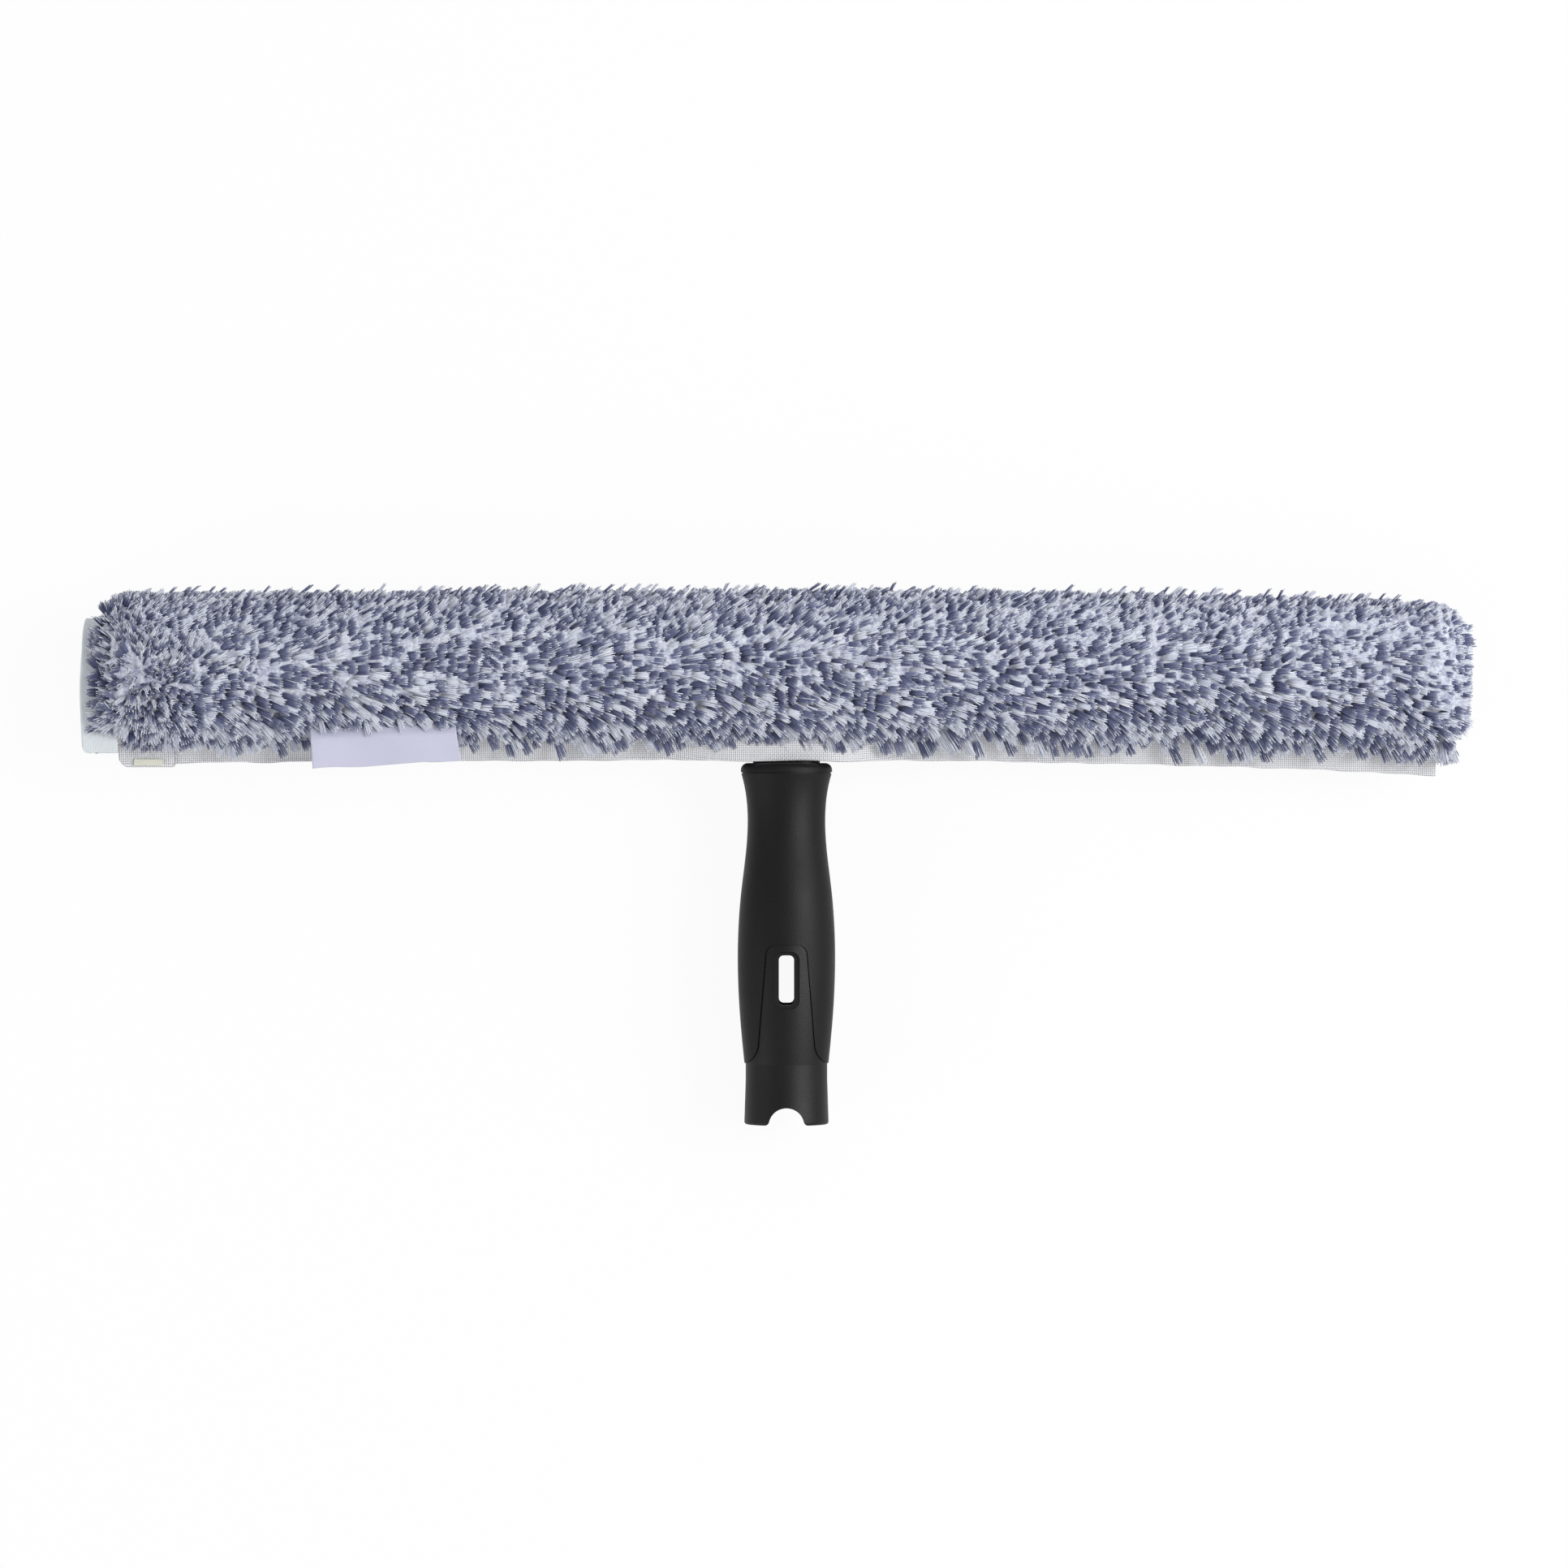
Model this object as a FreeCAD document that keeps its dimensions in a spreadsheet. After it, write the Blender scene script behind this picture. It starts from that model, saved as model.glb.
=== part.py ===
import FreeCAD, Part
import math
import os
import re

import Sketcher

# Window scrubber lying on its back. The origin is the middle of the pole socket's mouth, +Y runs up the
# handle to the bar, +X along the bar and +Z to the front. Lengths in millimetres, angles in degrees.
sizes = {
    # pole socket and hard core of the handle
    "bore_radius": 11.25,
    "bore_depth": 84.0,
    "socket_wall": 2.15,
    "socket_cap": 3.0,
    "mouth_flare": 0.45,
    "mouth_flare_height": 15.0,
    "mouth_round": 0.9,
    "shoulder_length": 11.0,
    "stem_radius": 10.0,
    "slot_width": 5.0,
    "slot_length": 16.3,
    "slot_corner": 1.6,
    "slot_lip": 1.2,
    "slot_lip_side": 1.8,
    "slot_lip_depth": 1.3,
    "slot_margin": 2.25,
    "notch_radius": 5.8,
    "notch_corner": 1.7,
    # soft grip: how thick it is on the core at each ring of its outline, and how far apart the rings are
    "foot_height": 19.4,
    "foot_skin": 0.35,
    "rise_step": 16.6,
    "rise_skin": 1.9,
    "swell_step": 16.0,
    "swell_skin": 2.6,
    "taper_drop": 10.0,
    "taper_skin": 1.4,
    "waist_step": 4.5,
    "waist_skin": 2.8,
    "flare_step": 8.0,
    "flare_skin": 3.7,
    "collar_step": 5.1,
    "collar_skin": 5.0,
    "collar_thickness": 3.0,
    "collar_round": 2.3,
    "collar_line": 0.5,
    "collar_line_depth": 0.45,
    # arched window in the grip, front and rear
    "window_height": 39.8,
    "window_top_half": 6.9,
    "window_corner": 3.3,
    "window_low_rise": 7.6,
    "window_low_half": 9.3,
    "window_skirt_rise": 0.5,
    "window_flare_ease": 0.5,
    "panel_recess": 0.4,
    # hollow bar, and the neck and tang that carry it
    "neck_width": 22.0,
    "neck_inset": 2.0,
    "neck_length": 8.9,
    "neck_insert": 3.0,
    "tang_thickness": 5.6,
    "tang_rim": 1.5,
    "bar_length": 434.0,
    "bar_height": 37.0,
    "bar_depth": 18.0,
    "bar_wall": 2.2,
    "bumper_thickness": 4.0,
    "bumper_plug": 5.0,
    "bumper_round": 1.5,
    "drain_width": 3.0,
    "drain_length": 13.0,
    "drain_pitch": 22.0,
    "drain_margin": 19.0,
    "drain_row": 7.0,
    # bosses and screws that close the bar
    "boss_radius": 3.2,
    "boss_first": 5.0,
    "boss_margin": 14.0,
    "screw_radius": 1.45,
    "screw_reach": 4.6,
    "screw_head_radius": 2.7,
    "screw_head": 1.6,
    "screw_cross_width": 0.8,
    "screw_cross_length": 3.2,
    "screw_cross_depth": 0.8,
    # sewn sleeve: cloth, pile, end panel and cuff
    "cloth_gap": 0.5,
    "cloth_thickness": 1.0,
    "cloth_overhang": 6.0,
    "slit_room": 1.6,
    "panel_room": 1.8,
    "panel_thickness": 1.2,
    "pile_top": 9.5,
    "pile_face": 7.0,
    "pile_bottom": 3.5,
    "pile_left": 6.0,
    "pile_right": 4.8,
    "pile_left_round": 5.0,
    "pile_right_round": 12.0,
    "pile_slit_room": 0.4,
    "cuff_length": 8.8,
    "cuff_drop": 5.7,
    # hems with their closure, the strap across them and the label
    "hem_thickness": 1.2,
    "hem_room": 1.0,
    "hem_rise": 0.9,
    "hem_neck_room": 0.6,
    "hem_neck_margin": 2.0,
    "hem_bow": 30.0,
    "hem_left": 1.0,
    "hem_right": 4.0,
    "tape_margin": 4.0,
    "tape_edge": 0.4,
    "tape_clearance": 0.05,
    "tab_left": 3.0,
    "tab_width": 18.0,
    "tab_thickness": 1.2,
    "tab_gap": 0.35,
    "tab_height": 7.2,
    "tab_bead": 0.75,
    "patch_width": 9.5,
    "patch_height": 2.6,
    "patch_thickness": 0.5,
    "patch_inset": 5.0,
    "label_width": 48.2,
    "label_height": 13.9,
    "label_thickness": 0.7,
    "label_tilt": 3.2,
    "label_left": 154.4,
    "label_drop": 10.9,
    "label_room": 2.0,
    "label_clearance": 0.5,
    # clearances and the overrun of every cut
    "bond_gap": 0.05,
    "fit_gap": 0.2,
    "seam_gap": 0.2,
    "overrun": 3.0,
}
boss_count = 4

doc = FreeCAD.newDocument("window_scrubber")
sheet = doc.addObject("Spreadsheet::Sheet", "Sizes")
for row, (name, number) in enumerate(sizes.items(), start=1):
    sheet.set(f"A{row}", name)
    sheet.set(f"B{row}", str(number))
    sheet.setAlias(f"B{row}", name)
doc.recompute()
sub_parts = []

# Places that several sub-parts share, as formulas of the sizes
core_radius = "(bore_radius + socket_wall)"
core_length = "(bore_depth + socket_cap)"
shoulder_top = f"({core_length} + shoulder_length)"
window_top = "(foot_height + window_height)"
panel_face = f"({core_radius} + swell_skin - panel_recess)"
slot_middle = f"({window_top} - slot_margin - slot_lip - slot_length / 2)"
ring_heights = {
    "foot": "foot_height",
    "rise": "(foot_height + rise_step)",
    "swell": "(foot_height + rise_step + swell_step)",
    "taper": f"({core_length} - taper_drop)",
    "waist": f"({shoulder_top} + waist_step)",
    "flare": f"({shoulder_top} + waist_step + flare_step)",
    "collar": f"({shoulder_top} + waist_step + flare_step + collar_step)",
}
collar_height = ring_heights["collar"]
collar_radius = "(stem_radius + collar_skin)"
grip_top = f"({collar_height} + collar_thickness)"
neck_depth = "(bar_depth - 2 * neck_inset)"
bar_bottom = f"({grip_top} + neck_length)"
bar_middle = f"({bar_bottom} + bar_height / 2)"
neck_top = f"({bar_bottom} + neck_insert)"
bar_end = "(bar_length / 2)"
shell_end = "(bar_length / 2 - bumper_thickness)"
boss_pitch = f"(({bar_end} - boss_margin - boss_first) / {boss_count - 1})"
cloth_half_height = "(bar_height / 2 + cloth_gap + cloth_thickness)"
cloth_half_depth = "(bar_depth / 2 + cloth_gap + cloth_thickness)"
cloth_left = f"(0 - {bar_end} - cloth_overhang)"
cloth_right = f"({bar_end} + panel_room)"
panel_left = f"({cloth_right} + seam_gap)"
arc_middle = f"({bar_middle} - bar_height / 2 + bar_depth / 2)"
slit_half = f"({neck_depth} / 2 + slit_room)"
hem_bottom = f"({grip_top} + hem_rise)"
hem_left_end = f"({cloth_left} + hem_left)"
hem_right_end = f"({bar_end} - hem_right)"
hem_face = "(hem_room + hem_thickness)"
label_bottom = f"({bar_bottom} - label_drop)"
label_back = f"({collar_radius} + label_clearance)"


def value(formula):
    return float(sheet.evalExpression(str(formula)))


def bind(thing, path, formula):
    cells = re.sub(r"\b(" + "|".join(sizes) + r")\b", r"Sizes.\1", str(formula))
    thing.setExpression(path, cells)


def point(across, along, up):
    return FreeCAD.Vector(value(across), value(along), value(up))


def new_body(label):
    body = doc.addObject("PartDesign::Body", label)
    body.Label = label
    sub_parts.append(body)
    return body


def origin_item(body, role):
    return next(item for item in body.Origin.OriginFeatures if item.Role == role)


def new_sketch(body, role, name, offset="0"):
    sketch = body.newObject("Sketcher::SketchObject", name)
    sketch.AttachmentSupport = [(origin_item(body, role), "")]
    sketch.MapMode = "FlatFace"
    bind(sketch, "AttachmentOffset.Base.z", offset)
    return sketch


def hold(sketch, kind, places, formula, label):
    """One dimension of a sketch, tied to its formula. A negative one is measured the other way round."""
    number = value(formula)
    if kind in ("DistanceX", "DistanceY") and number < 0:
        places = places[2:] + places[:2]
        formula = f"0 - ({formula})"
    index = sketch.addConstraint(Sketcher.Constraint(kind, *places, abs(number)))
    sketch.renameConstraint(index, label)
    bind(sketch, f"Constraints.{label}", formula)


def hold_point(sketch, side, end, across, along):
    label = f"{side}_{end}"
    if value(across) == 0:
        sketch.addConstraint(Sketcher.Constraint("PointOnObject", side, end, -2))
    else:
        hold(sketch, "DistanceX", (-1, 1, side, end), across, f"across_{label}")
    if value(along) == 0:
        sketch.addConstraint(Sketcher.Constraint("PointOnObject", side, end, -1))
    else:
        hold(sketch, "DistanceY", (-1, 1, side, end), along, f"along_{label}")


def arc_between(start, end, radius, turn):
    """Arc of under a half circle. turn is 1 anticlockwise and -1 clockwise."""
    chord = end - start
    left = FreeCAD.Vector(-chord.y, chord.x, 0).normalize()
    reach = math.sqrt(max(radius**2 - (chord.Length / 2) ** 2, 0))
    middle = start + chord * 0.5 + left * (reach * turn)
    angles = [math.atan2(spot.y - middle.y, spot.x - middle.x) for spot in (start, end)]
    circle = Part.Circle(middle, FreeCAD.Vector(0, 0, 1), radius)
    return Part.ArcOfCircle(circle, *angles[::turn])


def outline(sketch, corners, arcs=None):
    """Closed outline through corners, pairs of formulas. arcs gives the radius and turn of a round side."""
    arcs = arcs or {}
    first = sketch.GeometryCount
    spots = [FreeCAD.Vector(value(across), value(along), 0) for across, along in corners]
    ends = []
    for side, (start, end) in enumerate(zip(spots, spots[1:] + spots[:1])):
        if side in arcs:
            radius, turn = arcs[side]
            sketch.addGeometry(arc_between(start, end, value(radius), turn), False)
            ends.append((1, 2)[::turn])
        else:
            sketch.addGeometry(Part.LineSegment(start, end), False)
            ends.append((1, 2))
    count = len(corners)
    for side in range(count):
        after = (side + 1) % count
        joint = (first + side, ends[side][1], first + after, ends[after][0])
        sketch.addConstraint(Sketcher.Constraint("Coincident", *joint))
    for side, (across, along) in enumerate(corners):
        hold_point(sketch, first + side, ends[side][0], across, along)
    for side, (radius, turn) in arcs.items():
        hold(sketch, "Radius", (first + side,), radius, f"round_{first + side}")
    return sketch


def round_spot(sketch, across, along, radius):
    spot = FreeCAD.Vector(value(across), value(along), 0)
    side = sketch.addGeometry(Part.Circle(spot, FreeCAD.Vector(0, 0, 1), value(radius)), False)
    hold_point(sketch, side, 3, across, along)
    hold(sketch, "Radius", (side,), radius, f"round_{side}")
    return sketch


def stadium(sketch, middle, half_long, half_short):
    """Outline with two straight sides and round ends, long along the sketch's first axis."""
    ends = [f"({middle}) - ({half_long})", f"({middle}) + ({half_long})"]
    bends = [f"({ends[0]}) + ({half_short})", f"({ends[1]}) - ({half_short})"]
    corners = [
        (bends[0], f"0 - ({half_short})"),
        (bends[1], f"0 - ({half_short})"),
        (ends[1], "0"),
        (bends[1], half_short),
        (bends[0], half_short),
        (ends[0], "0"),
    ]
    return outline(sketch, corners, {side: (half_short, 1) for side in (1, 2, 4, 5)})


def rectangle(sketch, left, right, low, high):
    return outline(sketch, [(left, low), (right, low), (right, high), (left, high)])


def rounded_rectangle(sketch, middle, half_width, half_length, corner):
    inner = f"({half_width}) - ({corner})"
    outer = f"({half_width})"
    low = f"({middle}) - ({half_length})"
    high = f"({middle}) + ({half_length})"
    corners = [
        (f"0 - ({inner})", low),
        (inner, low),
        (outer, f"{low} + ({corner})"),
        (outer, f"{high} - ({corner})"),
        (inner, high),
        (f"0 - ({inner})", high),
        (f"0 - {outer}", f"{high} - ({corner})"),
        (f"0 - {outer}", f"{low} + ({corner})"),
    ]
    return outline(sketch, corners, {side: (corner, 1) for side in (1, 3, 5, 7)})


def finish_feature(body, feature, before, grows):
    """Recomputes, and stops if the feature added or cut nothing."""
    body.Tip = feature
    doc.recompute()
    change = body.Shape.Volume - before
    if (change > 0) != grows or change == 0:
        raise RuntimeError(f"{feature.Name} of {body.Label} changed the volume by {change}")
    return feature


def volume_of(body):
    return 0.0 if body.Shape.isNull() else body.Shape.Volume


def pad(body, sketch, name, length, both_ways=False, backwards=False):
    doc.recompute()
    before = volume_of(body)
    feature = body.newObject("PartDesign::Pad", name)
    feature.Profile = sketch
    feature.SideType = "Symmetric" if both_ways else "One side"
    feature.Reversed = backwards
    bind(feature, "Length", length)
    return finish_feature(body, feature, before, True)


def pocket(body, sketch, name, length=None, both_ways=False, backwards=False):
    doc.recompute()
    before = volume_of(body)
    feature = body.newObject("PartDesign::Pocket", name)
    feature.Profile = sketch
    feature.SideType = "Symmetric" if both_ways else "One side"
    feature.Reversed = backwards
    if length is None:
        feature.Type = "ThroughAll"
    else:
        bind(feature, "Length", length)
    return finish_feature(body, feature, before, False)


def turned(body, kind, sketch, name):
    """Revolution or Groove about the sketch's own upright axis."""
    doc.recompute()
    before = volume_of(body)
    feature = body.newObject(f"PartDesign::{kind}", name)
    feature.Profile = sketch
    feature.ReferenceAxis = (sketch, ["V_Axis"])
    return finish_feature(body, feature, before, kind == "Revolution")


def row_along_bar(body, original, name, pitch, count, backwards=False):
    before = volume_of(body)
    grows = original.TypeId == "PartDesign::Pad"
    feature = body.newObject("PartDesign::LinearPattern", name)
    feature.Originals = [original]
    feature.Direction = (origin_item(body, "X_Axis"), [""])
    feature.Reversed = backwards
    bind(feature, "Length", f"{count - 1} * ({pitch})")
    feature.Occurrences = count
    return finish_feature(body, feature, before, grows)


def round_edges(body, name, radius, wanted):
    """Fillet on the edges that wanted() picks by their points."""
    base = body.Tip
    edges = base.Shape.Edges
    names = [f"Edge{n}" for n, edge in enumerate(edges, start=1) if wanted(edge)]
    before = volume_of(body)
    feature = body.newObject("PartDesign::Fillet", name)
    feature.Base = (base, names)
    bind(feature, "Radius", radius)
    return finish_feature(body, feature, before, False)


def edge_lies_at(axis, place):
    """Picks edges that lie wholly in the plane at one place on an axis."""
    spot = value(place)
    near = value("bond_gap")

    def wanted(edge):
        box = edge.BoundBox
        low, high = getattr(box, f"{axis}Min"), getattr(box, f"{axis}Max")
        return abs(low - spot) < near and abs(high - spot) < near

    return wanted


def window_outline(sketch, inset):
    """Arched window in the grip, drawn in from its edge by the inset."""
    low = "(foot_height + window_low_rise)"
    skirt_height = "(foot_height + window_skirt_rise)"
    skirt_drop = "(window_low_rise - window_skirt_rise)"
    flare = f"({skirt_drop} + window_flare_ease)"
    low_half = f"(window_low_half - {inset})"
    top_half = f"(window_top_half - {inset})"
    top = f"({window_top} - {inset})"
    skirt = f"({low_half} + {flare} - sqrt({flare}^2 - {skirt_drop}^2))"
    crown = f"({top_half} - window_corner)"
    shoulder = f"({top} - window_corner)"
    return outline(
        sketch,
        [
            (f"0 - {skirt}", "foot_height - overrun"),
            (skirt, "foot_height - overrun"),
            (skirt, skirt_height),
            (low_half, low),
            (top_half, shoulder),
            (crown, top),
            (f"0 - {crown}", top),
            (f"0 - {top_half}", shoulder),
            (f"0 - {low_half}", low),
            (f"0 - {skirt}", skirt_height),
        ],
        {2: (flare, -1), 4: ("window_corner", 1), 6: ("window_corner", 1), 8: (flare, -1)},
    )


def loft_rings(body, name, rings, drop):
    """Loft through the grip's rings, sunk below its surface by the drop."""
    sketches = []
    for ring in rings:
        sketch = new_sketch(body, "XZ_Plane", f"{name}_{ring}_ring", f"0 - {ring_heights[ring]}")
        inside = core_radius if ring in ("foot", "rise", "swell", "taper") else "stem_radius"
        sketches.append(round_spot(sketch, "0", "0", f"{inside} + {ring}_skin - {drop}"))
    doc.recompute()
    before = volume_of(body)
    loft = body.newObject("PartDesign::AdditiveLoft", name)
    loft.Profile = sketches[0]
    loft.Sections = sketches[1:]
    finish_feature(body, loft, before, True)


def add_handle_core():
    body = new_body("handle_core")
    loft_rings(body, "panel_form", ("foot", "rise", "swell", "taper"), "panel_recess")
    reach = f"({core_radius} + swell_skin + overrun)"
    sides = new_sketch(body, "XY_Plane", "panel_sides_outline")
    rectangle(sides, f"0 - {reach}", reach, "foot_height - 2 * overrun", f"{ring_heights['taper']} + overrun")
    pocket(body, window_outline(sides, "bond_gap"), "panel_sides", both_ways=True)

    profile = outline(
        new_sketch(body, "XY_Plane", "core_profile"),
        [
            ("bore_radius", "0"),
            (f"{core_radius} + mouth_flare - mouth_round", "0"),
            (f"{core_radius} + mouth_flare", "mouth_round"),
            (core_radius, "mouth_flare_height"),
            (core_radius, core_length),
            ("stem_radius", shoulder_top),
            ("stem_radius", grip_top),
            ("0", grip_top),
            ("0", "bore_depth"),
            ("bore_radius", "bore_depth"),
        ],
        {1: ("mouth_round", 1)},
    )
    turned(body, "Revolution", profile, "core_turned")
    bore = rectangle(new_sketch(body, "XY_Plane", "bore_profile"), "0", "bore_radius", "foot_height - overrun", "bore_depth")
    turned(body, "Groove", bore, "bore")

    neck = stadium(
        new_sketch(body, "XZ_Plane", "neck_outline", f"0 - {grip_top}"),
        "0",
        "neck_width / 2",
        f"{neck_depth} / 2",
    )
    pad(body, neck, "neck", "neck_length + neck_insert", backwards=True)

    hole = "(boss_radius + fit_gap)"
    tang_half = f"(boss_first + {hole} + tang_rim)"
    tang = rectangle(
        new_sketch(body, "XZ_Plane", "tang_outline", f"0 - {neck_top}"),
        f"0 - {tang_half}",
        tang_half,
        "0 - tang_thickness / 2",
        "tang_thickness / 2",
    )
    pad(body, tang, "tang", f"{bar_middle} + {hole} + tang_rim - {neck_top}", backwards=True)
    holes = new_sketch(body, "XY_Plane", "tang_hole_outline")
    for side in (-1, 1):
        round_spot(holes, f"{side} * boss_first", bar_middle, hole)
    pocket(body, holes, "tang_holes", both_ways=True)

    slot = rounded_rectangle(
        new_sketch(body, "XY_Plane", "slot_outline"),
        slot_middle,
        "slot_width / 2",
        "slot_length / 2",
        "slot_corner",
    )
    pocket(body, slot, "latch_slot", both_ways=True)
    for side, face in ((1, "front"), (-1, "rear")):
        lip = rounded_rectangle(
            new_sketch(body, "XY_Plane", f"{face}_lip_outline", f"{side} * ({panel_face} - slot_lip_depth)"),
            slot_middle,
            "slot_width / 2 + slot_lip_side",
            "slot_length / 2 + slot_lip",
            "slot_corner + slot_lip",
        )
        pocket(body, lip, f"{face}_slot_lip", backwards=side > 0)

    reach = "sqrt((notch_radius + notch_corner)^2 - notch_corner^2)"
    touch = "(notch_radius / (notch_radius + notch_corner))"
    notch = outline(
        new_sketch(body, "XY_Plane", "notch_outline"),
        [
            (f"0 - {reach}", "0 - overrun"),
            (reach, "0 - overrun"),
            (reach, "0"),
            (f"{touch} * {reach}", f"{touch} * notch_corner"),
            ("0", "notch_radius"),
            (f"0 - {touch} * {reach}", f"{touch} * notch_corner"),
            (f"0 - {reach}", "0"),
        ],
        {2: ("notch_corner", -1), 3: ("notch_radius", 1), 4: ("notch_radius", 1), 5: ("notch_corner", -1)},
    )
    pocket(body, notch, "mouth_notches", both_ways=True)


def add_grip_overmould():
    body = new_body("grip_overmould")
    loft_rings(body, "grip_form", ring_heights, "0")

    collar = round_spot(
        new_sketch(body, "XZ_Plane", "collar_outline", f"0 - {collar_height}"), "0", "0", collar_radius
    )
    pad(body, collar, "collar", "collar_thickness", backwards=True)
    round_edges(body, "collar_rim", "collar_round", edge_lies_at("Y", grip_top))

    line = rectangle(
        new_sketch(body, "XY_Plane", "collar_line_outline"),
        f"{collar_radius} - collar_line_depth",
        f"{collar_radius} + overrun",
        f"{collar_height} - collar_line",
        collar_height,
    )
    turned(body, "Groove", line, "collar_line_groove")

    inside = outline(
        new_sketch(body, "XY_Plane", "inside_profile"),
        [
            ("0", "foot_height - overrun"),
            (f"{core_radius} + bond_gap", "foot_height - overrun"),
            (f"{core_radius} + bond_gap", core_length),
            ("stem_radius + bond_gap", shoulder_top),
            ("stem_radius + bond_gap", f"{grip_top} + overrun"),
            ("0", f"{grip_top} + overrun"),
        ],
    )
    turned(body, "Groove", inside, "inside")

    pocket(body, window_outline(new_sketch(body, "XY_Plane", "window_outline"), "0"), "window", both_ways=True)


def add_bar_shell(label, side):
    """Half of the hollow bar: side is 1 for the front half and -1 for the rear one."""
    body = new_body(label)
    half_depth = "(bar_depth / 2)"
    inner_depth = "(bar_depth / 2 - bar_wall)"
    top = f"({bar_middle} + bar_height / 2)"
    bends = (f"({bar_bottom} + {half_depth})", f"({top} - {half_depth})")
    section = outline(
        new_sketch(body, "YZ_Plane", "shell_section"),
        [
            (top, "0"),
            (bends[1], f"{side} * {half_depth}"),
            (bends[0], f"{side} * {half_depth}"),
            (bar_bottom, "0"),
            (f"{bar_bottom} + bar_wall", "0"),
            (bends[0], f"{side} * {inner_depth}"),
            (bends[1], f"{side} * {inner_depth}"),
            (f"{top} - bar_wall", "0"),
        ],
        {0: (half_depth, side), 2: (half_depth, side), 4: (inner_depth, -side), 6: (inner_depth, -side)},
    )
    pad(body, section, "shell", f"2 * {shell_end}", both_ways=True)

    for hand, way in ((1, "right"), (-1, "left")):
        spot = new_sketch(body, "XY_Plane", f"{way}_boss_outline")
        round_spot(spot, f"{hand} * boss_first", bar_middle, "boss_radius")
        boss = pad(body, spot, f"{way}_boss", "bar_depth / 2 - bar_wall / 2", backwards=side < 0)
        row_along_bar(body, boss, f"{way}_bosses", boss_pitch, boss_count, backwards=hand < 0)
        add_boss_holes(body, side, hand, way)

    count = int(value("(bar_length - 2 * drain_margin) / drain_pitch")) + 1
    start = f"(0 - {(count - 1) / 2} * drain_pitch)"
    drains = new_sketch(body, "XY_Plane", "drain_outline")
    for row in (-1, 1):
        place = f"({bar_middle} + {row} * drain_row)"
        rectangle(
            drains,
            f"{start} - drain_length / 2",
            f"{start} + drain_length / 2",
            f"{place} - drain_width / 2",
            f"{place} + drain_width / 2",
        )
    first = pocket(body, drains, "first_drains", backwards=side > 0)
    row_along_bar(body, first, "drains", "drain_pitch", count)

    mouth = stadium(
        new_sketch(body, "XZ_Plane", "neck_mouth_outline", f"0 - {neck_top} - fit_gap"),
        "0",
        "neck_width / 2 + fit_gap",
        f"{neck_depth} / 2 + fit_gap",
    )
    pocket(body, mouth, "neck_mouth", "neck_insert + fit_gap + overrun", backwards=True)


def add_boss_holes(body, side, hand, way):
    """Blind holes for the screws in the front bosses, clear holes with head seats in the rear ones."""
    place = (f"{hand} * boss_first", bar_middle)

    def repeat(hole):
        row_along_bar(body, hole, f"{hole.Name}_row", boss_pitch, boss_count, backwards=hand < 0)

    spot = new_sketch(body, "XY_Plane", f"{way}_hole_outline")
    if side > 0:
        round_spot(spot, *place, "screw_radius + bond_gap")
        repeat(pocket(body, spot, f"{way}_hole", "screw_reach + fit_gap", backwards=True))
    else:
        round_spot(spot, *place, "screw_radius + fit_gap")
        repeat(pocket(body, spot, f"{way}_hole"))
        seat = new_sketch(body, "XY_Plane", f"{way}_seat_outline", "0 - bar_depth / 2")
        round_spot(seat, *place, "screw_head_radius + fit_gap")
        repeat(pocket(body, seat, f"{way}_seat", "screw_head", backwards=True))


def add_shell_screws():
    """Pan-head screws from the rear, one in each boss."""
    head_face = value("0 - bar_depth / 2")
    up = FreeCAD.Vector(0, 0, 1)
    head = Part.makeCylinder(value("screw_head_radius"), value("screw_head"), point("0", "0", "0"), up)
    shank_length = value("bar_depth / 2 + screw_reach")
    screw = head.fuse(Part.makeCylinder(value("screw_radius"), shank_length, point("0", "0", "0"), up))
    across = value("screw_cross_length / 2")
    along = value("screw_cross_width / 2")
    for half_width, half_length in ((across, along), (along, across)):
        arm = Part.makeBox(2 * half_width, 2 * half_length, value("screw_cross_depth"))
        arm.translate(FreeCAD.Vector(-half_width, -half_length, 0))
        screw = screw.cut(arm)
    screws = []
    for hand in (-1, 1):
        for step in range(boss_count):
            copy = screw.copy()
            place = point(f"{hand} * (boss_first + {step} * {boss_pitch})", bar_middle, "0")
            copy.translate(place + up * head_face)
            screws.append(copy)
    add_feature("shell_screws", Part.makeCompound(screws))


def add_bumper(label, side):
    body = new_body(label)
    face = f"{side} * {shell_end}"
    flange = stadium(
        new_sketch(body, "YZ_Plane", "flange_outline", face), bar_middle, "bar_height / 2", "bar_depth / 2"
    )
    pad(body, flange, "flange", "bumper_thickness", backwards=side < 0)
    round_edges(body, "flange_rim", "bumper_round", edge_lies_at("X", f"{side} * {bar_end}"))
    inset = "(bar_wall + fit_gap)"
    plug = stadium(
        new_sketch(body, "YZ_Plane", "plug_outline", face),
        bar_middle,
        f"bar_height / 2 - {inset}",
        f"bar_depth / 2 - {inset}",
    )
    pad(body, plug, "plug", "bumper_plug", backwards=side > 0)


def slit_outline(body, half, offset="0"):
    """Gap along the lower side of the sleeve that the neck slides through."""
    low = f"{bar_middle} - {cloth_half_height} - pile_bottom - overrun"
    return rectangle(
        new_sketch(body, "YZ_Plane", "slit_outline", offset), low, arc_middle, f"0 - ({half})", half
    )


def add_backing_cloth():
    body = new_body("backing_cloth")
    section = new_sketch(body, "YZ_Plane", "cloth_section", cloth_left)
    stadium(section, bar_middle, cloth_half_height, cloth_half_depth)
    stadium(
        section, bar_middle, f"{cloth_half_height} - cloth_thickness", f"{cloth_half_depth} - cloth_thickness"
    )
    pad(body, section, "tube", f"{cloth_right} - {cloth_left}")
    pocket(body, slit_outline(body, slit_half), "slit", both_ways=True)


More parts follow.
